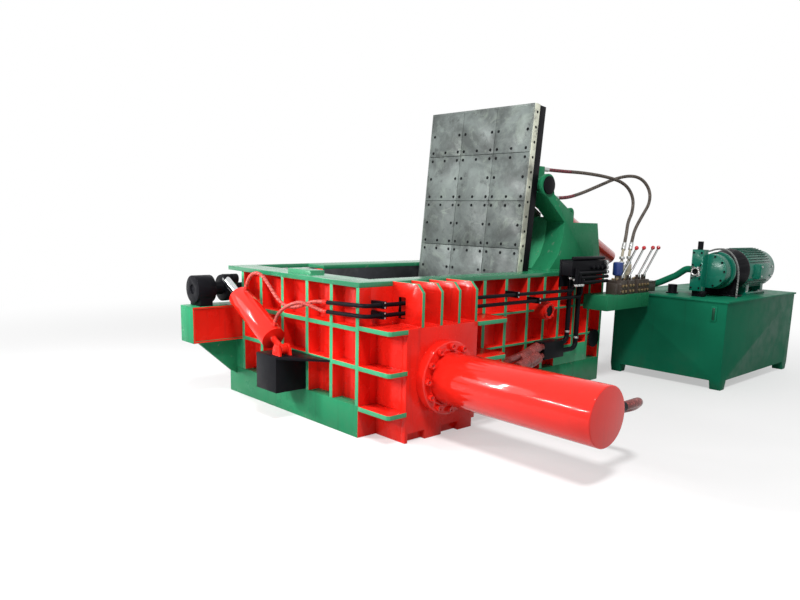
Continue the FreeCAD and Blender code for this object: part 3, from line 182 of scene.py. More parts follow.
class BalerWork(bpy.types.PropertyGroup):
    """Sizes of the details that the scene adds."""

    edge: amount("Edge", "Width of the rounding on plate edges", 0.003, "LENGTH")
    bead: amount("Weld bead", "Leg of the fillet welds between plates", 0.009, "LENGTH")
    lid_bolt: amount("Lid bolt", "Radius of the countersunk bolts in the lid", 0.0155,
                     "LENGTH")
    lid_sheath: amount("Lid hose sheath", "Radius of the woven sheath on the lid's hoses",
                       0.0185, "LENGTH")
    turn_sheath: amount("Turn-out hose sheath",
                        "Radius of the woven sheath on the turn-out cylinder's hoses",
                        0.0155, "LENGTH")
    bolt_inset: amount("Bolt inset", "Distance of a lid bolt from its plate's edge", 0.045,
                       "LENGTH")


class BalerStudio(bpy.types.PropertyGroup):
    """Floor and light."""

    floor: colour("Floor", "Pale studio floor", (0.90, 0.90, 0.90))
    floor_bounce: colour("Floor bounce", "How much light the floor sends back up",
                         (0.40, 0.40, 0.40))
    sky: amount("Sky", "Strength of the even light", 0.30)
    key: amount("Key", "Power of the large front light", 980.0, "POWER")
    fill: amount("Fill", "Power of the left light", 150.0, "POWER")
    strip: amount("Strip", "Power of each narrow light that draws the highlights", 80.0,
                  "POWER")


# --- objects ---


def set_mode(mode):
    bpy.ops.object.mode_set(mode=mode)


def clear_selection():
    if bpy.context.mode != "OBJECT":
        set_mode("OBJECT")
    bpy.ops.object.select_all(action="DESELECT")


def pick(*objects):
    """Select these objects alone, the first one active."""
    clear_selection()
    for obj in objects:
        obj.select_set(True)
    bpy.context.view_layer.objects.active = objects[0]
    return objects[0]


def edit(obj, action="SELECT"):
    """Open a piece in edit mode with all of it selected or deselected."""
    pick(obj)
    set_mode("EDIT")
    bpy.ops.mesh.select_all(action=action)


def smooth(angle=35):
    """Shade the selected piece smoothly, but for edges sharper than the angle."""
    bpy.ops.object.shade_smooth_by_angle(angle=math.radians(angle))


def join(name, objects):
    """Join objects into one piece under a new name."""
    obj = pick(*objects)
    if len(objects) > 1:
        bpy.ops.object.join()
    obj.name = name
    obj.data.name = name
    return obj


def blank(operator, scale=(1, 1, 1), **shape):
    """The mesh that an add operator makes, with its scale and place baked in."""
    clear_selection()
    operator(**shape)
    obj = bpy.context.active_object
    obj.scale = scale
    bpy.ops.object.transform_apply(location=True, rotation=True, scale=True)
    return obj


def stub(radius, low, high, sides=48, x=0.0, y=0.0):
    """An upright cylinder between two levels."""
    return blank(bpy.ops.mesh.primitive_cylinder_add, vertices=sides, radius=radius,
                 depth=high - low, location=(x, y, (low + high) / 2))


def block(x0, x1, y0, y1, z0, z1):
    """A rectangular blank between two corners."""
    return blank(bpy.ops.mesh.primitive_cube_add, (x1 - x0, y1 - y0, z1 - z0), size=1,
                 location=at((x0 + x1) / 2, (y0 + y1) / 2, (z0 + z1) / 2))


def finish_modifiers(obj):
    pick(obj)
    for modifier in list(obj.modifiers):
        bpy.ops.object.modifier_apply(modifier=modifier.name)


def soften(obj, width, segments=2):
    """Round the edges and shade the curved parts smoothly."""
    bevel = obj.modifiers.new("edges", "BEVEL")
    bevel.width = width
    bevel.segments = segments
    bevel.limit_method = "ANGLE"
    bevel.angle_limit = math.radians(32)
    bevel.use_clamp_overlap = True
    bevel.harden_normals = False
    finish_modifiers(obj)
    smooth()
    return obj


def copy_node(name, node):
    """A copy of a CAD node, its loose triangles merged back into flat faces."""
    obj = bpy.data.objects.new(name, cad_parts[node].data.copy())
    bpy.context.collection.objects.link(obj)
    edit(join(name, [obj]))
    bpy.ops.mesh.remove_doubles(threshold=0.00003)
    bpy.ops.mesh.dissolve_limited(angle_limit=math.radians(0.5))
    set_mode("OBJECT")
    return obj


def copy_mesh(master, placing):
    """A copy of a fitting with its own mesh, set in place by a matrix."""
    copy = master.copy()
    copy.data = master.data.copy()
    copy.data.transform(placing)
    bpy.context.collection.objects.link(copy)
    return copy


def scatter(name, master, places):
    """Copy a fitting, modelled along +Z about the origin, to each place and direction.

    A place is given in press coordinates, or as a Vector in the frame of the CAD.
    """
    copies = []
    for place, way in places:
        spot = place if isinstance(place, Vector) else at(*place)
        turn = Vector(way).to_track_quat("Z", "Y").to_matrix().to_4x4()
        copies.append(copy_mesh(master, Matrix.Translation(spot) @ turn))
    bpy.data.objects.remove(master)
    return join(name, copies)


def select_faces(obj, test):
    """Select the faces whose centre and normal pass a test, and leave edit mode on."""
    edit(obj, "DESELECT")
    bpy.ops.mesh.select_mode(type="FACE")
    set_mode("OBJECT")
    for face in obj.data.polygons:
        face.select = bool(test(face.center, face.normal))
    set_mode("EDIT")


def extrude(x, y, z):
    """Extrude what is selected by a step in edit mode."""
    bpy.ops.mesh.extrude_region_move(TRANSFORM_OT_translate={"value": (x, y, z)})


def slice_across(obj, place, normal):
    """Divide the faces that cross a plane."""
    edit(obj)
    bpy.ops.mesh.bisect(plane_co=place, plane_no=normal)
    set_mode("OBJECT")


def sink(obj, test, inset, depth=0.0):
    """Inset the chosen faces and push them along their normal."""
    select_faces(obj, test)
    bpy.ops.mesh.inset(thickness=inset, depth=depth)
    set_mode("OBJECT")


# --- node wiring ---


class Wiring:
    """Adds nodes to a tree and joins them up."""

    def __init__(self, tree):
        self.tree = tree
        tree.nodes.clear()

    def add(self, kind, inputs=(), **settings):
        node = self.tree.nodes.new(kind)
        for name, value in settings.items():
            setattr(node, name, value)
        for socket, value in dict(inputs).items():
            self.feed(node.inputs[socket], value)
        return node

    def feed(self, socket, value):
        if isinstance(value, bpy.types.NodeSocket):
            self.tree.links.new(value, socket)
        elif value is not None:
            if socket.type == "RGBA" and len(value) == 3:
                value = (*value, 1.0)
            socket.default_value = value

    def noise(self, vector, scale, detail=3.0, roughness=0.5, distortion=0.0):
        return self.add("ShaderNodeTexNoise", {
            "Vector": vector, "Scale": scale, "Detail": detail, "Roughness": roughness,
            "Distortion": distortion}).outputs["Fac"]

    def step(self, value, low, high, first=0.0, last=1.0):
        """Map a value from low..high to first..last, smoothly and held at the ends."""
        return self.add("ShaderNodeMapRange", {
            "Value": value, "From Min": low, "From Max": high, "To Min": first,
            "To Max": last}, interpolation_type="SMOOTHSTEP").outputs["Result"]

    def maths(self, operation, a, b=None):
        return self.add("ShaderNodeMath", {0: a, 1: b}, operation=operation).outputs[0]

    def times(self, a, b):
        return self.maths("MULTIPLY", a, b)

    def plus(self, a, b):
        return self.maths("ADD", a, b)

    def mix(self, share_in, a, b, blend="MIX"):
        return self.add("ShaderNodeMix", {0: share_in, 6: a, 7: b}, data_type="RGBA",
                        blend_type=blend).outputs[2]

    def dim(self, tone, level):
        """A tone made darker or lighter by a value."""
        grey = self.add("ShaderNodeCombineColor", {0: level, 1: level, 2: level})
        return self.mix(1.0, tone, grey.outputs[0], "MULTIPLY")

    def stretch(self, vector, scale):
        return self.add("ShaderNodeMapping", {"Vector": vector, "Scale": scale}).outputs[0]

    def split(self, vector):
        return self.add("ShaderNodeSeparateXYZ", {0: vector}).outputs

    def seen(self):
        """1 for the rays that show the background: from the camera, by mirror or glass."""
        rays = self.add("ShaderNodeLightPath").outputs
        direct = self.maths("MAXIMUM", rays["Is Camera Ray"], rays["Is Glossy Ray"])
        return self.maths("MAXIMUM", direct, rays["Is Transmission Ray"])


FLOAT = "NodeSocketFloat"
COLOR = "NodeSocketColor"
SKIN = ("Color", "Roughness", "Height")


def shared_group(name, fill, *inputs):
    """A node group, made on first use, that turns a place into colour, sheen and relief."""
    if name in bpy.data.node_groups:
        return bpy.data.node_groups[name]
    group = bpy.data.node_groups.new(name, "ShaderNodeTree")
    wires = Wiring(group)
    for label, kind, default in (("Vector", "NodeSocketVector", (0, 0, 0)), *inputs):
        socket = group.interface.new_socket(label, in_out="INPUT", socket_type=kind)
        socket.default_value = default
    for label, kind in zip(SKIN, (COLOR, FLOAT, FLOAT)):
        group.interface.new_socket(label, in_out="OUTPUT", socket_type=kind)
    entry = wires.add("NodeGroupInput").outputs
    wires.add("NodeGroupOutput", zip(SKIN, fill(wires, entry["Vector"], entry)))
    return group


def worn_enamel(wires, vector, entry):
    """Brushed enamel: tone drift, runs, rubbed spots, dust near the floor, orange peel."""
    tone = wires.dim(entry["Color"],
                     wires.step(wires.noise(vector, 1.1, 3.0), 0.3, 0.7, 0.84, 1.10))
    runs = wires.noise(wires.stretch(vector, (22.0, 22.0, 1.4)), 1.0, 4.0)
    runs = wires.times(wires.step(runs, 0.56, 0.74), entry["Wear"])
    tone = wires.mix(wires.times(runs, 0.55), tone, (0.02, 0.02, 0.02))
    spots = wires.step(wires.noise(vector, 17.0, 9.0, 0.68), 0.60, 0.66)
    spots = wires.times(spots, wires.step(wires.noise(vector, 2.3, 2.0), 0.5, 0.62))
    spots = wires.times(spots, entry["Wear"])
    tone = wires.mix(spots, tone, entry["Worn Color"])
    dust = wires.times(wires.step(wires.split(vector)[2], 0.02, 0.55, 1.0, 0.0),
                       wires.step(wires.noise(vector, 5.0, 6.0, 0.6), 0.42, 0.72))
    dust = wires.times(dust, entry["Dust"])
    tone = wires.mix(dust, tone, (0.20, 0.17, 0.14))
    rough = wires.step(wires.noise(vector, 7.0, 5.0), 0.35, 0.7, -0.04, 0.10)
    rough = wires.plus(wires.plus(entry["Gloss"], rough),
                       wires.times(wires.plus(spots, dust), 0.5))
    height = wires.plus(wires.times(wires.noise(vector, 150.0, 2.0), 0.10),
                        wires.times(wires.noise(vector, 9.0, 3.0), 0.9))
    return tone, rough, wires.maths("SUBTRACT", height, wires.times(spots, 0.15))


def rolled_plate(wires, vector, entry):
    """Rolled plate: clouds of scale and oil, pale scuffs, dark stains, fine scratches."""
    clouds = wires.noise(vector, 2.4, 7.0, 0.68, 0.5)
    tone = wires.dim(entry["Color"], wires.step(clouds, 0.36, 0.66, 0.52, 1.40))
    haze = wires.step(wires.noise(vector, 3.4, 7.0, 0.7, 1.4), 0.50, 0.72)
    haze = wires.times(haze, entry["Scuffs"])
    tone = wires.mix(wires.times(haze, 0.6), tone, entry["Scuff Color"])
    scuff = wires.noise(wires.stretch(vector, (3.0, 3.0, 9.0)), 1.0, 8.0, 0.72, 0.8)
    scuff = wires.times(wires.step(scuff, 0.60, 0.68), entry["Scuffs"])
    tone = wires.mix(wires.times(scuff, 0.45), tone, entry["Scuff Color"])
    stain = wires.step(wires.noise(vector, 5.0, 8.0, 0.72), 0.54, 0.68, 0.0, 0.78)
    tone = wires.mix(stain, tone, (0.03, 0.034, 0.032))
    fine = wires.noise(wires.stretch(vector, (40.0, 40.0, 160.0)), 1.0, 6.0, 0.7)
    tone = wires.mix(wires.times(wires.step(fine, 0.55, 0.75), 0.25), tone,
                     (0.02, 0.022, 0.022))
    rough = wires.step(wires.noise(vector, 4.0, 6.0), 0.3, 0.7, 0.34, 0.62)
    return tone, rough, wires.plus(wires.times(fine, 0.25),
                                   wires.noise(vector, 26.0, 5.0, 0.6))


class Material(Wiring):
    """A new material: its wiring, its shader and its Object coordinates."""

    def __init__(self, name):
        self.material = bpy.data.materials.new(name)
        self.material.use_nodes = True
        super().__init__(self.material.node_tree)
        self.shader = self.add("ShaderNodeBsdfPrincipled")
        self.output = self.add("ShaderNodeOutputMaterial", {"Surface": self.shader.outputs[0]})
        self.coordinates = self.add("ShaderNodeTexCoord").outputs
        self.place = self.coordinates["Object"]

    def complete(self, tone, rough, height, distance, strength, **constants):
        """Feed the shader with colour, roughness and relief; constants go on its sockets."""
        bump = self.add("ShaderNodeBump", {
            "Height": height, "Distance": distance, "Strength": strength})
        for socket, value in (("Base Color", tone), ("Roughness", rough),
                              ("Normal", bump.outputs[0])):
            self.feed(self.shader.inputs[socket], value)
        for socket, value in constants.items():
            self.shader.inputs[socket.replace("_", " ")].default_value = value
        return self.material


def enamel(name, tone, worn, gloss, wear, coat=0.06, shine=0.14, dust=1.0, film=0.12,
           ripple=0.6):
    """Paint over steel with its own colour and gloss."""
    wires = Material(name)
    group = shared_group("Worn enamel", worn_enamel, ("Color", COLOR, (0.5, 0.5, 0.5, 1)),
                         ("Worn Color", COLOR, (0.3, 0.3, 0.3, 1)), ("Wear", FLOAT, 0.3),
                         ("Dust", FLOAT, 0.3), ("Gloss", FLOAT, 0.3))
    skin = wires.add("ShaderNodeGroup", node_tree=group)
    dust *= bpy.context.scene.baler_paint.dust
    for socket, value in zip(skin.inputs, (wires.place, tone, worn, wear, dust, gloss)):
        wires.feed(socket, value)
    return wires.complete(*skin.outputs, 0.0022, ripple, Coat_Weight=coat,
                          Coat_Roughness=film, Specular_IOR_Level=shine)


def plate_steel(name, tone, scuff, scuffs, metal):
    """Bare rolled steel under oil and scale."""
    wires = Material(name)
    group = shared_group("Rolled plate", rolled_plate, ("Color", COLOR, (0.1, 0.1, 0.1, 1)),
                         ("Scuff Color", COLOR, (0.3, 0.34, 0.32, 1)),
                         ("Scuffs", FLOAT, 0.5))
    skin = wires.add("ShaderNodeGroup", node_tree=group)
    for socket, value in zip(skin.inputs, (wires.place, tone, scuff, scuffs)):
        wires.feed(socket, value)
    return wires.complete(*skin.outputs, 0.0012, 0.5, Metallic=metal)


def bright_metal(name, tone, rough, scratch):
    """Plated or turned metal with faint marks."""
    wires = Material(name)
    marks = wires.noise(wires.stretch(wires.place, (90.0, 90.0, 14.0)), 1.0, 5.0, 0.6)
    shade = wires.mix(wires.step(marks, 0.35, 0.75), tone, [part * 0.75 for part in tone])
    return wires.complete(shade, wires.step(marks, 0.3, 0.7, rough, rough + 0.15), marks,
                          0.0006, scratch, Metallic=1.0)


def wrapped_hose(name, tone, dark, turns, gloss, sleeve_tone=None):
    """Hose cover: a helical wrap or braid that follows the hose's own UV."""
    wires = Material(name)
    along = wires.split(wires.coordinates["UV"])
    slant = wires.plus(wires.times(along[0], turns), along[1])
    rib = wires.step(wires.maths("PINGPONG", wires.maths("FRACT", slant), 0.5), 0.02, 0.30)
    soil = wires.noise(wires.place, 13.0, 7.0, 0.7)
    shade = wires.mix(wires.step(soil, 0.40, 0.68), tone, [part * 0.45 for part in tone])
    if sleeve_tone:
        ragged = wires.plus(wires.split(wires.place)[1], wires.times(soil, 0.12))
        covered = wires.step(ragged, SLEEVE_END, SLEEVE_END + 0.02, 1.0, 0.0)
        shade = wires.mix(covered, shade, sleeve_tone)
    shade = wires.mix(rib, dark, shade)
    # Pale flecks lighter than the cover: light fibres of the cover, and painted glints of light
    # on the weave.
    fleck_and_glint = wires.step(wires.noise(wires.place, 60.0, 4.0, 0.6), 0.56, 0.66)
    shade = wires.mix(wires.times(fleck_and_glint, 0.5), shade,
                      [min(1.0, part * 2.2 + 0.05) for part in tone])
    return wires.complete(shade, wires.step(soil, 0.3, 0.7, gloss, gloss + 0.2), rib, 0.003,
                          0.9)


def moulded(name, tone, rough, shine=0.5):
    """Moulded plastic or rubber with a fine grain."""
    wires = Material(name)
    grain = wires.noise(wires.place, 240.0, 3.0)
    tint = wires.step(wires.noise(wires.place, 9.0, 3.0), 0.35, 0.7)
    return wires.complete(wires.mix(tint, tone, [part * 0.8 for part in tone]),
                          wires.step(grain, 0.3, 0.7, rough, rough + 0.12), grain, 0.0004,
                          0.5, Specular_IOR_Level=shine)


def finish(name):
    """The named finish, made on first use."""
    if name in bpy.data.materials:
        return bpy.data.materials[name]
    paint = bpy.context.scene.baler_paint
    wear, rubbed = paint.wear, (0.30, 0.36, 0.30)
    maker, *values = {
        "red_enamel": (enamel, paint.red, (0.25, 0.02, 0.015), 0.24, wear),
        "gloss_red": (enamel, paint.red, (0.30, 0.02, 0.015), 0.10, wear * 0.3, 0.45, 0.12,
                      1.0, 0.015, 0.08),
        "green_enamel": (enamel, paint.green, rubbed, 0.30, wear, 0.02, 0.06, 0.6),
        # A lighter green: the plate edges' own paint, and on the bracket ties painted light, a
        # lit face where the lid's shade falls.
        "edge_green": (enamel, [min(1.0, part * 1.5 + 0.02) for part in paint.green],
                       (0.40, 0.36, 0.30), 0.35, wear),
        "rim_green": (enamel, paint.green, rubbed, 0.20, wear, 0.15, 0.4),
        "tank_enamel": (enamel, paint.tank_green, (0.03, 0.10, 0.07), 0.34, wear * 0.5, 0.0,
                        0.02, 0.5, 0.12, 0.25),
        "teal_enamel": (enamel, paint.teal, (0.10, 0.16, 0.14), 0.24, wear * 0.6, 0.12,
                        0.25),
        "black_enamel": (enamel, paint.black, (0.08, 0.075, 0.07), 0.34, wear * 0.5, 0.0,
                         0.05, 0.6),
        "valve_casting": (enamel, (0.075, 0.058, 0.048), (0.25, 0.22, 0.19), 0.42, wear,
                          0.05, 0.35),
        "fitting_cream": (enamel, (0.50, 0.45, 0.34), (0.30, 0.30, 0.29), 0.35, wear),
        "lid_steel": (plate_steel, paint.lid_steel, (0.34, 0.40, 0.34), 0.6, 0.10),
        "lid_steel_low": (plate_steel, [part * 0.72 for part in paint.lid_steel], rubbed,
                          0.6, 0.10),
        "strip_steel": (plate_steel, paint.strip_steel, (0.62, 0.64, 0.56), 0.5, 0.1),
        "chamber_steel": (plate_steel, paint.chamber_steel, (0.10, 0.10, 0.10), 0.4, 0.2),
        "chrome": (bright_metal, (0.72, 0.73, 0.74), 0.10, 0.2),
        "brass": (bright_metal, (0.34, 0.25, 0.14), 0.38, 0.5),
        "zinc": (bright_metal, (0.52, 0.53, 0.52), 0.32, 0.4),
        "braid_hose": (wrapped_hose, paint.braid, (0.03, 0.025, 0.02), 90.0, 0.6,
                       paint.maroon),
        "red_hose": (wrapped_hose, (0.66, 0.075, 0.055), (0.34, 0.02, 0.015), 30.0, 0.3),
        "film_hose": (wrapped_hose, (0.36, 0.055, 0.045), (0.16, 0.02, 0.018), 22.0, 0.2),
        "drain_cover": (wrapped_hose, (0.24, 0.25, 0.24), (0.08, 0.08, 0.08), 50.0, 0.5),
        "seam_dark": (moulded, (0.010, 0.011, 0.012), 0.7, 0.08),
        "knob_red": (moulded, (0.60, 0.015, 0.025), 0.12),
        "blue_cap": (moulded, (0.02, 0.05, 0.22), 0.3),
        "gauge_window": (moulded, (0.004, 0.060, 0.030), 0.30, 0.20),
    }[name]
    return maker(name, *values)


# --- pieces ---


# Pairs that many pieces share: a slot of the part and a finish. DARK is for the black
# fittings on the pump and the motor.
RED, GLOSS = ("red_paint", "red_enamel"), ("red_paint", "gloss_red")
GREEN, BLACK = ("green_paint", "green_enamel"), ("black_paint", "black_enamel")
TEAL, DARK = ("teal_paint", "teal_enamel"), ("teal_paint", "black_enamel")
# LINER's steel is near black as painted shade of the chamber's inside.
LINER, ROD = ("worn_steel", "chamber_steel"), ("polished_rod", "chrome")


def fit(obj, slot, *finishes, body="press", node=None, choose=None):
    """Give a piece its finishes and fix it to a body, for the CAD node that it replaces.

    With several finishes, choose gives one's number for a face's centre and normal.
    """
    obj.data.materials.clear()
    for name in finishes:
        obj.data.materials.append(finish(name))
    for face in obj.data.polygons:
        face.material_index = choose(face.center, face.normal) if choose else 0
    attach(obj, body)
    if node:
        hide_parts(node)


def weldment(name, node, slot, *finishes, body="press", choose=None):
    """A welded piece in place of its CAD node, with rounded edges and its paint."""
    obj = soften(copy_node(name, node), bpy.context.scene.baler_work.edge)
    fit(obj, slot, *finishes, body=body, node=node, choose=choose)


def countersunk_screw(radius):
    """A flush screw with a sunk socket, pointing along +Z."""
    obj = stub(radius, -0.003, 0.003, 24)
    sink(obj, lambda centre, normal: normal.z > 0.9, radius * 0.22)
    sink(obj, lambda centre, normal: normal.z > 0.9 and centre.length < 0.004,
         radius * 0.28, -0.0012)
    smooth()
    return obj


def cap_screw(radius, high):
    """A round screw head with a sunk socket, its seat at the origin, pointing along +Z."""
    obj = soften(stub(radius, 0.0, high, 30), high * 0.12)
    sink(obj, lambda centre, normal: normal.z > 0.95, radius * 0.38)
    sink(obj, lambda centre, normal: normal.z > 0.95 and centre.length < high * 1.02,
         radius * 0.06, -high * 0.5)
    return obj


def hexagon_nut(radius, high):
    """A hexagon nut or head with a raised face, its seat at the origin."""
    obj = soften(stub(radius, 0.0, high, 6), high * 0.10)
    sink(obj, lambda centre, normal: normal.z > 0.95, radius * 0.22, high * 0.06)
    return obj


def sleeve(radius, start, end):
    """A turned collar about Z with rounded ends and a shallow groove at its middle."""
    obj = stub(radius, start, end, 28)
    middle = (start + end) / 2
    for level in (middle - radius * 0.12, middle + radius * 0.12):
        slice_across(obj, (0, 0, level), UP)
    sink(obj, lambda centre, normal: abs(centre.z - middle) < radius * 0.1
         and abs(normal.z) < 0.5, radius * 0.02, -radius * 0.08)
    return soften(obj, radius * 0.10)


def ring_places(count, radius, centre, way, first=0.0):
    """Places on a circle about a level axis, each pointing along that axis."""
    places = []
    for step in range(count):
        angle = first + 2 * math.pi * step / count
        side, rise = radius * math.sin(angle), radius * math.cos(angle)
        shift = (0, side, rise) if way[0] else (side, 0, rise)
        places.append((at(*centre) + Vector(shift), way))
    return places


def weld_seams(name, seams, slot, finish_name):
    """Fillet welds: small overlapping beads along straight seams."""
    leg = bpy.context.scene.baler_work.bead
    bead = blank(bpy.ops.mesh.primitive_ico_sphere_add, (1.0, 1.0, 0.8), subdivisions=1,
                 radius=leg)
    bpy.ops.object.shade_smooth()
    places = []
    for start, end in seams:
        start, end = at(*start), at(*end)
        count = max(2, round((end - start).length / (leg * 1.5)))
        way = (end - start).normalized()
        places.extend((start.lerp(end, step / count), way) for step in range(count + 1))
    fit(scatter(name, bead, places), slot, finish_name)


class BALER_OT_press_box(bpy.types.Operator):
    """Paint the press box: red walls with green plate edges, green base and rim"""

    bl_idname = "baler.press_box"
    bl_label = "Press Box"

    def execute(self, context):
        def left_edges(centre, normal):
            return int(centre.y < PRESS_CORNER.y + 0.004)

        def front_edges(centre, normal):
            """Black on the small cover, green on the plates' edges, red on the rest."""
            x, y, z = centre - PRESS_CORNER
            if 3.255 < y < 3.46 and 0.388 < z < 0.592:
                return 2 if x > -0.03 else 0
            corner = y < 0.38
            panel = 2.64 < y < 3.22 and z < 0.46
            edge = -0.004 < x < 0.01 and abs(normal.x) > 0.3
            return int(edge and not corner and not panel)

        def far_edges(centre, normal):
            return int(normal.x < -0.7 and centre.x < PRESS_CORNER.x - 1.98)

        def wrap_edges(centre, normal):
            return int(abs(normal.z) <= 0.7)

        def base_parts(centre, normal):
            return int(normal.x > 0.7 and centre.y < PRESS_CORNER.y + BASE_RED)

        weldment("left_wall", "wall_left", *RED, "edge_green", choose=left_edges)
        weldment("right_wall", "wall_right", *RED, "edge_green", "black_enamel",
                 choose=front_edges)
        weldment("far_wall", "wall_far", *RED, "edge_green", choose=far_edges)
        base = copy_node("base_weldment", "base_frame")
        slice_across(base, at(0, BASE_RED, 0), BACK)
        soften(base, context.scene.baler_work.edge)
        fit(base, *GREEN, "red_enamel", node="base_frame", choose=base_parts)
        weldment("rim", "rim_plate", "green_paint", "rim_green")
        weldment("guide_box", "ram_housing", *RED)
        weldment("wing_plates", "wrap_plates", *RED, "edge_green", choose=wrap_edges)
        weldment("rear_box", "rear_housing", *RED)
        weldment("chamber_lining", "chamber_liners", *LINER)
        weldment("chamber_floor", "floor_plate", *LINER)
        seams = [((rib + side, 0.118, 0.266), (rib + side, 0.118, RIB_TOP))
                 for rib in LEFT_RIBS for side in RIB_SIDES]
        seams += [((-0.108, rib + side, 0.60), (-0.108, rib + side, RIB_TOP))
                  for rib in RIGHT_RIBS for side in RIB_SIDES]
        weld_seams("wall_welds", seams, *RED)
        fit(scatter("boss_screws", hexagon_nut(0.012, 0.010), ring_places(
            6, 0.068, (0.130, LID_HINGE.y, LID_HINGE.z), RIGHT, 0.3)), *RED)
        return {"FINISHED"}


class BALER_OT_ram_mounting(bpy.types.Operator):
    """Make the main cylinder, its bolted flange, gussets and both rams"""

    bl_idname = "baler.ram_mounting"
    bl_label = "Cylinder Mounting"

    def execute(self, context):
        def gusset_edges(centre, normal):
            """Black in the slot by the wall as painted shade inside it, green on the edges, red
            on the sides.
            """
            if abs(normal.y) > 0.6:
                return 0
            x = centre.x - PRESS_CORNER.x
            # Black on the slot's inner faces is painted shade in the narrow slot.
            slot = 0.95 < centre.z < 1.14 and x < 0.17
            return 2 if slot else int(x > 0.01)

        weldment("gussets", "cylinder_gussets", *RED, "edge_green", "black_enamel",
                 choose=gusset_edges)
        weldment("mounting_plate", "flange_plate", *RED)
        weldment("flange_ring", "cylinder_flange", *GLOSS)
        screw_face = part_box("cylinder_flange")[1][0] - PRESS_CORNER.x
        screws = scatter("flange_screws", cap_screw(0.027, 0.030), ring_places(
            12, SCREW_CIRCLE, (screw_face, *MAIN_AXIS), RIGHT))
        fit(screws, *GLOSS, node="flange_bolts")
        sides = [GUSSET_FIRST + GUSSET_PITCH * step + side
                 for step in range(4) for side in (-0.017, 0.017)]
        weld_seams("mounting_welds",
                   [((0.012, y, 0.916), (0.345, y, 0.916)) for y in sides], *RED)
        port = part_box("main_barrel")[1][1] - 0.105
        weldment("barrel", "main_barrel", *GLOSS, "black_enamel",
                 choose=lambda centre, normal: int(centre.y > port))
        weldment("ram_rod", "main_ram_rod", *ROD, body="main_ram")
        weldment("ram_head", "main_ram_head", *LINER, body="main_ram")
        weldment("feed_cylinder", "feed_barrel", *GLOSS)
        weldment("feed_rod", "feed_ram_rod", *ROD, body="feed_ram")
        weldment("feed_head", "feed_ram_head", *LINER, body="feed_ram")
        return {"FINISHED"}


def plate_screw_places(inset):
    """Places of the screws round the lid's plates; the top row has none at its upper edge."""
    width = (LID_EDGES[1] - LID_EDGES[0]) / LID_COLUMNS
    toward = lid_place(0, -1, 0) - lid_place(0, 0, 0)
    places = []
    for top, low in zip(LID_ROWS, LID_ROWS[1:]):
        middle = (top + low) / 2
        levels = [top - inset, middle, low + inset]
        if top == LID_ROWS[0]:
            levels = levels[1:]
        if top - low < 0.2:
            levels = [middle]
        for column in range(LID_COLUMNS):
            first = LID_EDGES[0] + width * column - inset
            last = LID_EDGES[0] + width * (column + 1) + inset
            for level in levels:
                spots = [first, (first + last) / 2, last]
                if level == middle and len(levels) > 1:
                    spots = [first, last]
                places.extend((lid_place(x, LID_FACE + 0.001, level), toward)
                              for x in spots)
    return places


class BALER_OT_lid(bpy.types.Operator):
    """Make the lid: its plates, their screws, the side strips and the shaft"""

    bl_idname = "baler.lid"
    bl_label = "Lid"

    def execute(self, context):
        work = context.scene.baler_work
        weldment("lid_box", "lid_frame", *BLACK, body="lid")
        low, high = (lid_place(0, LID_FACE, level).z for level in DARK_ROW)
        fit(soften(copy_node("lid_plates", "lid_liner_plates"), 0.0025), "worn_steel",
            "lid_steel", "lid_steel_low", body="lid", node="lid_liner_plates",
            choose=lambda centre, normal: int(low < centre.z < high))
        right_strip = lid_place(LID_EDGES[0] - 0.06, 0, 0).x
        weldment("lid_strips", "lid_blades", "worn_steel", "strip_steel", "lid_steel",
                 body="lid", choose=lambda centre, normal: int(centre.x < right_strip))
        weldment("hinge_shaft", "lid_shaft", "worn_steel", "black_enamel", body="lid")
        sides = ((LID_EDGES[0] + STRIP_OUT, RIGHT), (LID_EDGES[1] - STRIP_OUT, LEFT))
        levels = [STRIP_FIRST + STRIP_STEP * step for step in range(STRIP_SCREWS)]
        strip_places = [(lid_place(x, LID_FACE + STRIP_MIDDLE, level), way)
                        for level in levels for x, way in sides]
        for name, radius, places in (
                ("lid_screws", work.lid_bolt, plate_screw_places(work.bolt_inset)),
                ("strip_screws", work.lid_bolt * 0.85, strip_places)):
            fit(scatter(name, countersunk_screw(radius), places), "worn_steel", "seam_dark",
                body="lid")
        return {"FINISHED"}


def folded_plate(x0, x1, line, thick):
    """A plate between two planes of X that follows a line of places in Y and Z."""
    first, second = at(0, *line[0]), at(0, *line[1])
    middle = (first + second) / 2
    obj = blank(
        bpy.ops.mesh.primitive_plane_add, (x1 - x0, (second - first).length, 1.0), size=1,
        location=(PRESS_CORNER.x + (x0 + x1) / 2, middle.y, middle.z),
        rotation=(math.atan2(second.z - first.z, second.y - first.y), 0, 0))
    mesh = obj.data
    for start, end in zip(line[1:], line[2:]):
        top = max(vertex.co.z for vertex in mesh.vertices) - 1e-5
        edit(obj, "DESELECT")
        set_mode("OBJECT")
        for edge in mesh.edges:
            edge.select = all(mesh.vertices[i].co.z > top for i in edge.vertices)
        for vertex in mesh.vertices:
            vertex.select = vertex.co.z > top
        set_mode("EDIT")
        bpy.ops.mesh.select_mode(type="EDGE")
        extrude(0, end[0] - start[0], end[1] - start[1])
        set_mode("OBJECT")
    wall = obj.modifiers.new("wall", "SOLIDIFY")
    wall.thickness = thick
    wall.offset = 0.0
    finish_modifiers(obj)
    edit(obj)
    bpy.ops.mesh.normals_make_consistent(inside=False)
    set_mode("OBJECT")
    return soften(obj, 0.003)


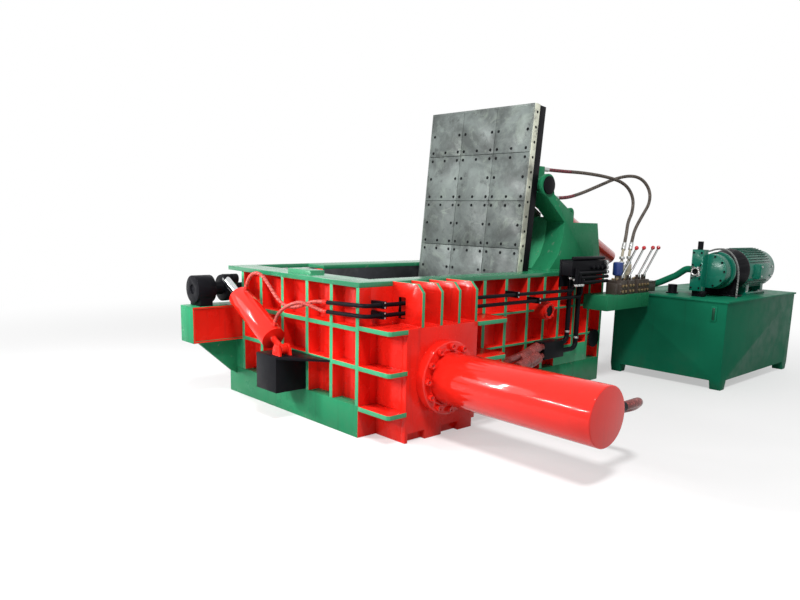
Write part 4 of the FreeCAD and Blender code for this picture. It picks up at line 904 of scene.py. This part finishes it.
class BALER_OT_lid_drive(bpy.types.Operator):
    """Make the lid's two cylinders and the brackets that carry them"""

    bl_idname = "baler.lid_drive"
    bl_label = "Lid Cylinders"

    def execute(self, context):
        for side in ("near", "far"):
            barrel, rod = "lid_barrel_" + side, "lid_rod_" + side
            weldment("lid_cylinder_" + side, barrel, *GLOSS, body=barrel)
            weldment("lid_piston_" + side, rod, *ROD, body=rod)
            weldment("bracket_" + side, "lid_bracket_" + side, *GREEN)
        weldment("journal_caps", "trunnion_caps", *BLACK)
        ties = [folded_plate(x0, x1, BRACKET_FRONT, 0.024) for x0, x1 in BRACKET_GAPS]
        # The ties are all the lighter edge green as painted light: a lit face painted over the
        # shade that the lid casts on them.
        fit(join("bracket_ties", ties), "green_paint", "edge_green")
        feet = [((side, 2.725, BRACKET_TOE), (side, 3.500, BRACKET_TOE))
                for x in (-0.187, -0.423, -0.617, -0.653) for side in (x, -1.940 - x)]
        weld_seams("bracket_welds", feet, *GREEN)
        return {"FINISHED"}


class BALER_OT_turnout(bpy.types.Operator):
    """Make the turn-out gear that tips the finished bale over the far wall"""

    bl_idname = "baler.turnout"
    bl_label = "Turn-out Gear"

    def execute(self, context):
        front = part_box("turnout_beam")[0][1] + 0.022
        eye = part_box("turnout_rod")[0][0] + 0.17

        def beam_parts(centre, normal):
            web = abs(normal.x) > 0.7 and 0.575 < centre.z < 0.875
            return int(web and centre.y > front)

        weldment("side_beam", "turnout_beam", *GREEN, "red_enamel", choose=beam_parts)
        weldment("drum_bearing", "turnout_bearing", *BLACK)
        weldment("crank_shaft", "turnout_shaft", *BLACK, body="turnout")
        weldment("flipper", "turnout_flipper", *LINER, body="turnout")
        weldment("turnout_cylinder", "turnout_barrel", *GLOSS, body="turnout_barrel")
        weldment("turnout_piston", "turnout_rod", *ROD, "black_enamel", body="turnout_rod",
                 choose=lambda centre, normal: int(centre.x < eye))
        weldment("turnout_stand", "turnout_bracket", *BLACK, "red_enamel",
                 choose=lambda centre, normal: int(centre.z > 0.585))
        return {"FINISHED"}


def bent_pipe(first, level):
    """A pipe of the bundle: it rises at one Y, bends and runs on at a level."""
    low, last, bend = 1.120, 3.285, BUNDLE_PIPE * 2.6
    obj = blank(bpy.ops.mesh.primitive_circle_add, vertices=20, radius=BUNDLE_PIPE,
                fill_type="NOTHING", location=at(BUNDLE_X, first, low))
    edit(obj)
    extrude(0, 0, level - bend - low)
    bpy.ops.mesh.spin(steps=8, angle=QUARTER, axis=LEFT,
                      center=at(BUNDLE_X, first + bend, level - bend))
    extrude(0, last - first - bend, 0)
    bpy.ops.mesh.select_all(action="SELECT")
    bpy.ops.mesh.select_non_manifold()
    bpy.ops.mesh.fill_holes(sides=0)
    bpy.ops.mesh.select_all(action="SELECT")
    bpy.ops.mesh.remove_doubles(threshold=0.0001)
    bpy.ops.mesh.normals_make_consistent(inside=False)
    set_mode("OBJECT")
    smooth(40)
    return obj


class BALER_OT_pipework(bpy.types.Operator):
    """Make the hard pipes, clamps and manifold"""

    bl_idname = "baler.pipework"
    bl_label = "Pipework"

    def execute(self, context):
        weldment("long_pipes", "main_pipes", "pipe_paint", "black_enamel")
        weldment("clamps", "pipe_clamps", *BLACK)
        hose_start = PRESS_CORNER.y + 2.268
        weldment("drop_lines", "drop_pipes", "pipe_paint", "black_enamel", "film_hose",
                 choose=lambda centre, normal: int(centre.y < hose_start))
        weldment("manifold", "pipe_manifold", "red_paint", "black_enamel")

        runs = []
        for x, first, last in ((0.120, 2.70, 3.28), (0.075, 2.76, 3.24)):
            pipe = blank(bpy.ops.mesh.primitive_cylinder_add, vertices=20,
                         radius=BUNDLE_PIPE, depth=last - first,
                         location=at(x, (first + last) / 2, 1.392),
                         rotation=(-QUARTER, 0, 0))
            runs.append(soften(pipe, 0.006))
        runs += [bent_pipe(first, level) for first, level in BUNDLE]
        fit(join("bundle_pipes", runs), "pipe_paint", "black_enamel")

        nuts = [((0.060, 2.762, 1.178), UP), ((0.060, 2.932, 1.178), UP),
                ((0.120, 2.750, 1.165), UP), ((0.120, 2.887, 1.165), UP),
                ((0.060, 2.762, 0.640), DOWN), ((0.060, 2.932, 0.560), DOWN)]
        nuts += [((BUNDLE_X, first, 1.112), UP) for first, level in BUNDLE]
        nuts += [((BUNDLE_X, 3.240, level), BACK) for first, level in BUNDLE]
        fit(scatter("pipe_nuts", hexagon_nut(0.029, 0.022), nuts), "pipe_paint", "zinc")

        toward = (at(0.120, 1.900, 0.330) - at(0.110, 2.270, 0.430)).normalized()
        wraps = [((0.112, 2.215, 0.415), toward), ((0.112, 2.190, 0.525), toward),
                 ((0.150, 2.130, 0.455), toward)]
        fit(scatter("hose_wraps", sleeve(0.052, 0.0, 0.31), wraps), "hose_rubber",
            "film_hose")
        clamps = ((0.140, 1.0821), (0.140, 0.9998), (1.798, 1.0731), (2.139, 0.9970))
        tips = [((0.146, y, level + side), RIGHT)
                for y, level in clamps for side in (-0.019, 0.019)]
        fit(scatter("clamp_screws", hexagon_nut(0.008, 0.006), tips), "black_paint", "zinc")
        return {"FINISHED"}


def hose(name, node, radius, finish_name, route):
    """A hose along the route of its tube: a smooth spline with a round bevel."""
    curve = bpy.data.curves.new(name, "CURVE")
    curve.dimensions = "3D"
    curve.bevel_depth = radius
    curve.bevel_resolution = 6
    curve.resolution_u = 16
    curve.use_fill_caps = True
    spline = curve.splines.new("NURBS")
    spline.points.add(len(route) - 1)
    for point, spot in zip(spline.points, route):
        point.co = (*at(*spot), 1.0)
    spline.order_u = 3
    spline.use_endpoint_u = True
    obj = bpy.data.objects.new(name, curve)
    bpy.context.collection.objects.link(obj)
    curve.materials.append(finish(finish_name))
    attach(obj, "press")
    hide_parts(node)


class BALER_OT_hoses(bpy.types.Operator):
    """Lay the hoses of the lid, the turn-out cylinder and the pump"""

    bl_idname = "baler.hoses"
    bl_label = "Hoses"

    def execute(self, context):
        work = context.scene.baler_work
        hose("hose_lid_front", "lid_hose_front", work.lid_sheath, "braid_hose", [
            (-0.390, 2.7803, 2.304), (-0.390, 3.110, 2.304), (-0.335, 3.455, 2.310),
            (-0.215, 3.790, 2.280), (-0.150, 4.060, 2.222), (-0.100, 4.180, 2.073),
            (-0.050, 4.100, 1.900), (0.020, 3.890, 1.780), (0.110, 3.724, 1.639),
            (0.150, 3.614, 1.477)])
        hose("hose_lid_rear", "lid_hose_rear", work.lid_sheath, "braid_hose", [
            (-0.310, 2.8703, 2.012), (-0.310, 3.085, 2.012), (-0.305, 3.370, 2.070),
            (-0.300, 3.735, 2.178), (-0.275, 4.055, 2.283), (-0.215, 4.305, 2.330),
            (-0.150, 4.460, 2.290), (-0.095, 4.550, 2.160), (-0.045, 4.470, 2.010),
            (0.000, 4.260, 1.880), (0.050, 4.010, 1.710), (0.120, 3.8445, 1.5985),
            (0.150, 3.762, 1.477)])
        hose("hose_turnout_upper", "turnout_hose_upper", work.turn_sheath, "red_hose", [
            (-1.35684, -0.200, 1.11577), (-1.31564, -0.200, 1.19012),
            (-1.250, -0.180, 1.245), (-1.155, -0.160, 1.235), (-1.070, -0.135, 1.135),
            (-0.980, -0.110, 1.025), (-0.865, -0.085, 0.970), (-0.715, -0.062, 0.990),
            (-0.545, -0.030, 1.062), (-0.3712, -0.030, 1.062)])
        hose("hose_turnout_lower", "turnout_hose_lower", work.turn_sheath, "red_hose", [
            (-0.88451, -0.200, 0.85403), (-0.84816, -0.200, 0.91963),
            (-0.790, -0.178, 0.975), (-0.725, -0.150, 1.015), (-0.635, -0.118, 1.045),
            (-0.550, -0.075, 1.022), (-0.462, -0.030, 0.985), (-0.3712, -0.030, 0.985)])
        hose("hose_drain", "drain_hose", 0.010, "drain_cover", [
            (0.745, 4.3803, 1.480), (0.745, 4.455, 1.480), (0.780, 4.540, 1.508),
            (0.890, 4.575, 1.512), (0.990, 4.580, 1.425), (1.045, 4.578, 1.290),
            (1.050, 4.572, 1.130), (1.050, 4.570, 0.9753)])
        ends = [((-0.390, 2.790, 2.304), BACK), ((-0.310, 2.880, 2.012), BACK),
                ((0.150, 3.614, 1.477), (-0.228, 0.627, 0.923)),
                ((0.150, 3.762, 1.477), (-0.200, 0.551, 0.810))]
        fit(scatter("lid_hose_crimps", sleeve(work.lid_sheath * 1.25, 0.0, 0.085), ends),
            "hose_rubber", "zinc")
        ends = [((-0.3712, -0.030, 1.062), LEFT), ((-0.3712, -0.030, 0.985), LEFT)]
        fit(scatter("turnout_hose_crimps", sleeve(work.turn_sheath * 1.3, 0.0, 0.050), ends),
            *RED)
        return {"FINISHED"}


class BALER_OT_valves(bpy.types.Operator):
    """Make the valve stand, the valve bank and its four hand levers"""

    bl_idname = "baler.valves"
    bl_label = "Valves and Levers"

    def execute(self, context):
        paint = "valve_paint"
        weldment("stand", "valve_stand", *GREEN)

        def riser_parts(centre, normal):
            return int(centre.z > 1.19 and centre.x < PRESS_CORNER.x + 0.19)

        weldment("valve_bank", "valve_block", paint, "valve_casting", "fitting_cream",
                 choose=riser_parts)
        plugs = []
        for y in LEVER_ROW:
            plugs += [((0.290, y + shift, level), RIGHT)
                      for level in (1.035, 1.095) for shift in (-0.032, 0.032)]
            plugs += [((x, y, 1.150), UP) for x in (0.150, 0.200)]
        fit(scatter("valve_plugs", hexagon_nut(0.016, 0.018), plugs), paint, "brass")
        risers = [((RISER_X, y, 1.155), UP) for y in RISER_ROW]
        fit(scatter("riser_sleeves", sleeve(0.036, 0.0, 0.16), risers), paint,
            "fitting_cream")
        nuts = [((RISER_X, y, level), UP) for y in RISER_ROW for level in (1.320, 1.375)]
        fit(scatter("riser_nuts", hexagon_nut(0.030, 0.028), nuts), paint, "zinc")
        spot = at(0.170, 3.500, 0)
        relief = [soften(stub(0.030, 1.118, 1.200, 48, spot.x, spot.y), 0.004),
                  soften(stub(0.056, 1.196, 1.345, 48, spot.x, spot.y), 0.016)]
        fit(join("relief_valve", relief), paint, "fitting_cream", "blue_cap",
            choose=lambda centre, normal: int(centre.z > 1.194))
        for node in ("lever_1", "lever_2", "lever_3", "lever_4"):
            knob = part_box(node)[1][2] - 0.045
            weldment("hand_" + node, node, "red_knob", "chrome", "knob_red", body=node,
                     choose=lambda centre, normal: int(centre.z > knob))
        return {"FINISHED"}


class BALER_OT_power_pack(bpy.types.Operator):
    """Make the oil tank, the pump, its bell housing and the motor"""

    bl_idname = "baler.power_pack"
    bl_label = "Power Pack"

    def execute(self, context):
        weldment("tank", "oil_tank", "dark_green_paint", "tank_enamel")
        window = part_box("level_gauge")[0][1] + 0.002
        weldment("gauge", "level_gauge", "gauge_glass", "tank_enamel", "gauge_window",
                 choose=lambda centre, normal: int(centre.y < window))
        weldment("filler", "filler_cap", *BLACK)

        def pump_parts(centre, normal):
            fitting = centre.z > 1.499 or centre.z < 1.041
            return int(fitting and centre.y < PRESS_CORNER.y + 4.381)

        weldment("pump", "pump_unit", *TEAL, "black_enamel", choose=pump_parts)
        weldment("bell", "bell_housing", *DARK)
        weldment("drive_motor", "motor", *TEAL)
        self.pump_details()
        self.motor_details()
        weldment("pressure_line", "pressure_pipe", "teal_paint", "tank_enamel")
        return {"FINISHED"}

    def pump_details(self):
        """Screws round the pump's cover, its sight port and the foot of the bell."""
        x, z = PUMP_AXIS
        screws = ring_places(10, 0.168, (x, 4.380, z), FRONT, 0.3)
        fit(scatter("pump_screws", cap_screw(0.011, 0.010), screws), *DARK)
        screws = [((x, 4.260, z), FRONT)
                  for x in (0.660, 0.750) for z in (1.075, 1.180, 1.330, 1.465)]
        fit(scatter("regulator_screws", cap_screw(0.010, 0.010), screws), *DARK)

        def port_glass(centre, normal):
            x, y, z = centre - at(0.700, 4.234, 1.255)
            return int(y > 0 and math.hypot(x, z) < 0.033)

        port = sleeve(0.047, -0.004, 0.030)
        sink(port, lambda centre, normal: normal.z > 0.95, 0.014)
        sink(port, lambda centre, normal: normal.z > 0.95 and centre.xy.length < 0.02, 0.001,
             -0.024)
        fit(scatter("sight_port", port, [((0.700, 4.262, 1.255), FRONT)]), "teal_paint",
            "zinc", "seam_dark", choose=port_glass)
        foot = [soften(block(0.610, 0.990, 4.690, 4.730, 0.976, 1.180), 0.006),
                soften(block(0.580, 1.020, 4.640, 4.800, 0.976, 0.996), 0.004),
                soften(block(0.785, 0.815, 4.640, 4.730, 0.990, 1.140), 0.004)]
        fit(join("bell_foot", foot), *DARK)

    def motor_details(self):
        """Cooling fins along the motor, its fan grille, box lid and foot bolts."""
        x, z = PUMP_AXIS
        fin = soften(blank(bpy.ops.mesh.primitive_cube_add, (0.005, 0.60, 0.020), size=1),
                     0.0015, 1)
        fins = []
        for step in range(FIN_STEPS):
            angle = 2 * math.pi * step / FIN_STEPS
            by_the_feet = math.cos(angle) < -0.78
            by_the_box = abs(angle - QUARTER) < 0.36
            if by_the_feet or by_the_box:
                continue
            fins.append(copy_mesh(fin, Matrix.Translation(at(x, 5.235, z))
                                  @ Matrix.Rotation(angle, 4, "Y")
                                  @ Matrix.Translation((0, 0, FIN_RADIUS))))
        bpy.data.objects.remove(fin)
        fit(join("motor_fins", fins), *TEAL)
        fan = at(x, 5.697, z)
        bars = [blank(bpy.ops.mesh.primitive_torus_add, major_radius=radius,
                      minor_radius=0.005, major_segments=48, minor_segments=8,
                      location=fan, rotation=(QUARTER, 0, 0))
                for radius in (0.04, 0.08, 0.12, 0.16, 0.20)]
        bars += [blank(bpy.ops.mesh.primitive_cylinder_add, vertices=10, radius=0.004,
                       depth=0.40, location=fan, rotation=(0, math.pi * turn / 4, 0))
                 for turn in range(4)]
        grille = join("fan_grille", bars)
        smooth(40)
        fit(grille, *DARK)
        cover = soften(block(1.088, 1.098, 5.080, 5.410, 1.178, 1.332), 0.004)
        fit(join("box_lid", [cover]), *TEAL)
        bolts = [((1.098, y, level), RIGHT) for y in (5.10, 5.39) for level in (1.20, 1.31)]
        bolts += [((x + side, y, 1.010), UP) for side in (-0.172, 0.172)
                  for y in (5.03, 5.40, 5.52)]
        fit(scatter("motor_screws", hexagon_nut(0.012, 0.010), bolts), "teal_paint", "zinc")


# --- stage ---


def softbox(name, place, target, size, power):
    light = bpy.data.lights.new(name, "AREA")
    light.shape = "DISK"
    light.size = size
    light.energy = power
    obj = bpy.data.objects.new(name, light)
    bpy.context.collection.objects.link(obj)
    obj.location = place
    aim = Vector(target) - Vector(place)
    obj.rotation_euler = aim.to_track_quat("-Z", "Y").to_euler()
    return obj


class BALER_OT_stage(bpy.types.Operator):
    """Set up the floor, the lights, the plain background and the camera"""

    bl_idname = "baler.stage"
    bl_label = "Stage"

    def execute(self, context):
        scene, studio = context.scene, context.scene.baler_studio
        scene.view_settings.view_transform = "Standard"

        floor = blank(bpy.ops.mesh.primitive_circle_add, vertices=96, radius=45.0,
                      fill_type="NGON")
        floor.name = "studio_floor"
        wires = Material("studio_floor")
        seen = wires.seen()
        dull = wires.mix(wires.step(wires.noise(wires.place, 0.8, 4.0), 0.3, 0.7),
                         studio.floor_bounce, [part * 0.985 for part in studio.floor_bounce])
        wires.feed(wires.shader.inputs["Base Color"], wires.mix(seen, dull, studio.floor))
        wires.shader.inputs["Roughness"].default_value = 0.7
        distance = wires.add("ShaderNodeVectorMath", {0: wires.place},
                             operation="LENGTH").outputs["Value"]
        fade = wires.times(wires.step(distance, 3.0, 9.0, 0.45, 1.0), seen)
        white = wires.add("ShaderNodeEmission", {"Color": (1, 1, 1), "Strength": 1.0})
        blend = wires.add("ShaderNodeMixShader", {
            0: fade, 1: wires.shader.outputs[0], 2: white.outputs[0]})
        wires.feed(wires.output.inputs["Surface"], blend.outputs[0])
        floor.data.materials.append(wires.material)

        scene.world = bpy.data.worlds.new("studio")
        scene.world.use_nodes = True
        wires = Wiring(scene.world.node_tree)
        even = wires.add("ShaderNodeBackground", {
            "Color": (1, 1, 1), "Strength": wires.step(wires.seen(), 0.0, 1.0, studio.sky)})
        wires.add("ShaderNodeOutputWorld", {"Surface": even.outputs[0]})

        softbox("key_light", (5.6, -4.6, 10.2), (0, 0, 0.6), 2.2, studio.key)
        softbox("left_light", (-5.5, -8.0, 5.0), (0, 0, 1.0), 5.0, studio.fill)
        for number, (start, end) in enumerate(STRIP_LAMPS):
            start, end = Vector(start), Vector(end)
            middle = (start + end) / 2
            lamp = softbox("strip_light_%d" % number, middle, STRIP_TARGET,
                           (end - start).length, studio.strip)
            lamp.data.shape = "RECTANGLE"
            lamp.data.size_y = STRIP_WIDTH
            along = (end - start).normalized()
            across = (middle - STRIP_TARGET).cross(along).normalized()
            turn = Matrix((along, across, along.cross(across))).transposed()
            lamp.rotation_euler = turn.to_euler()

        lens = bpy.data.cameras.new("photo_camera")
        lens.sensor_width = 36.0
        lens.lens = CAMERA_LENS
        lens.shift_x, lens.shift_y = CAMERA_SHIFT
        lens.clip_end = 200.0
        camera = bpy.data.objects.new("photo_camera", lens)
        scene.collection.objects.link(camera)
        camera.matrix_world = (Matrix.Translation(CAMERA_PLACE)
                               @ Matrix.Rotation(CAMERA_YAW, 4, "Z")
                               @ Matrix.Rotation(QUARTER - CAMERA_DIP, 4, "X")
                               @ Matrix.Rotation(CAMERA_ROLL, 4, "Z"))
        scene.camera = camera
        return {"FINISHED"}


class BALER_PT_panel(bpy.types.Panel):
    """Steps that dress the baler, in order"""

    bl_label = "Scrap Metal Baler"
    bl_idname = "BALER_PT_panel"
    bl_space_type = "VIEW_3D"
    bl_region_type = "UI"
    bl_category = "Baler"

    def draw(self, context):
        for operator in OPERATORS:
            self.layout.operator(operator.bl_idname)


OPERATORS = (
    BALER_OT_stage,
    BALER_OT_hoses,
    BALER_OT_press_box,
    BALER_OT_ram_mounting,
    BALER_OT_lid,
    BALER_OT_lid_drive,
    BALER_OT_turnout,
    BALER_OT_pipework,
    BALER_OT_valves,
    BALER_OT_power_pack,
)
SETTINGS = (
    ("baler_paint", BalerPaint),
    ("baler_work", BalerWork),
    ("baler_studio", BalerStudio),
)


def register():
    for name, group in SETTINGS:
        bpy.utils.register_class(group)
        setattr(bpy.types.Scene, name, bpy.props.PointerProperty(type=group))
    for operator in OPERATORS:
        bpy.utils.register_class(operator)
    bpy.utils.register_class(BALER_PT_panel)


def unregister():
    bpy.utils.unregister_class(BALER_PT_panel)
    for operator in reversed(OPERATORS):
        bpy.utils.unregister_class(operator)
    for name, group in reversed(SETTINGS):
        delattr(bpy.types.Scene, name)
        bpy.utils.unregister_class(group)


def main():
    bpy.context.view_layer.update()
    register()
    for operator in OPERATORS:
        getattr(bpy.ops.baler, operator.bl_idname.split(".")[1])()
    clear_selection()


if __name__ == "__main__":
    main()
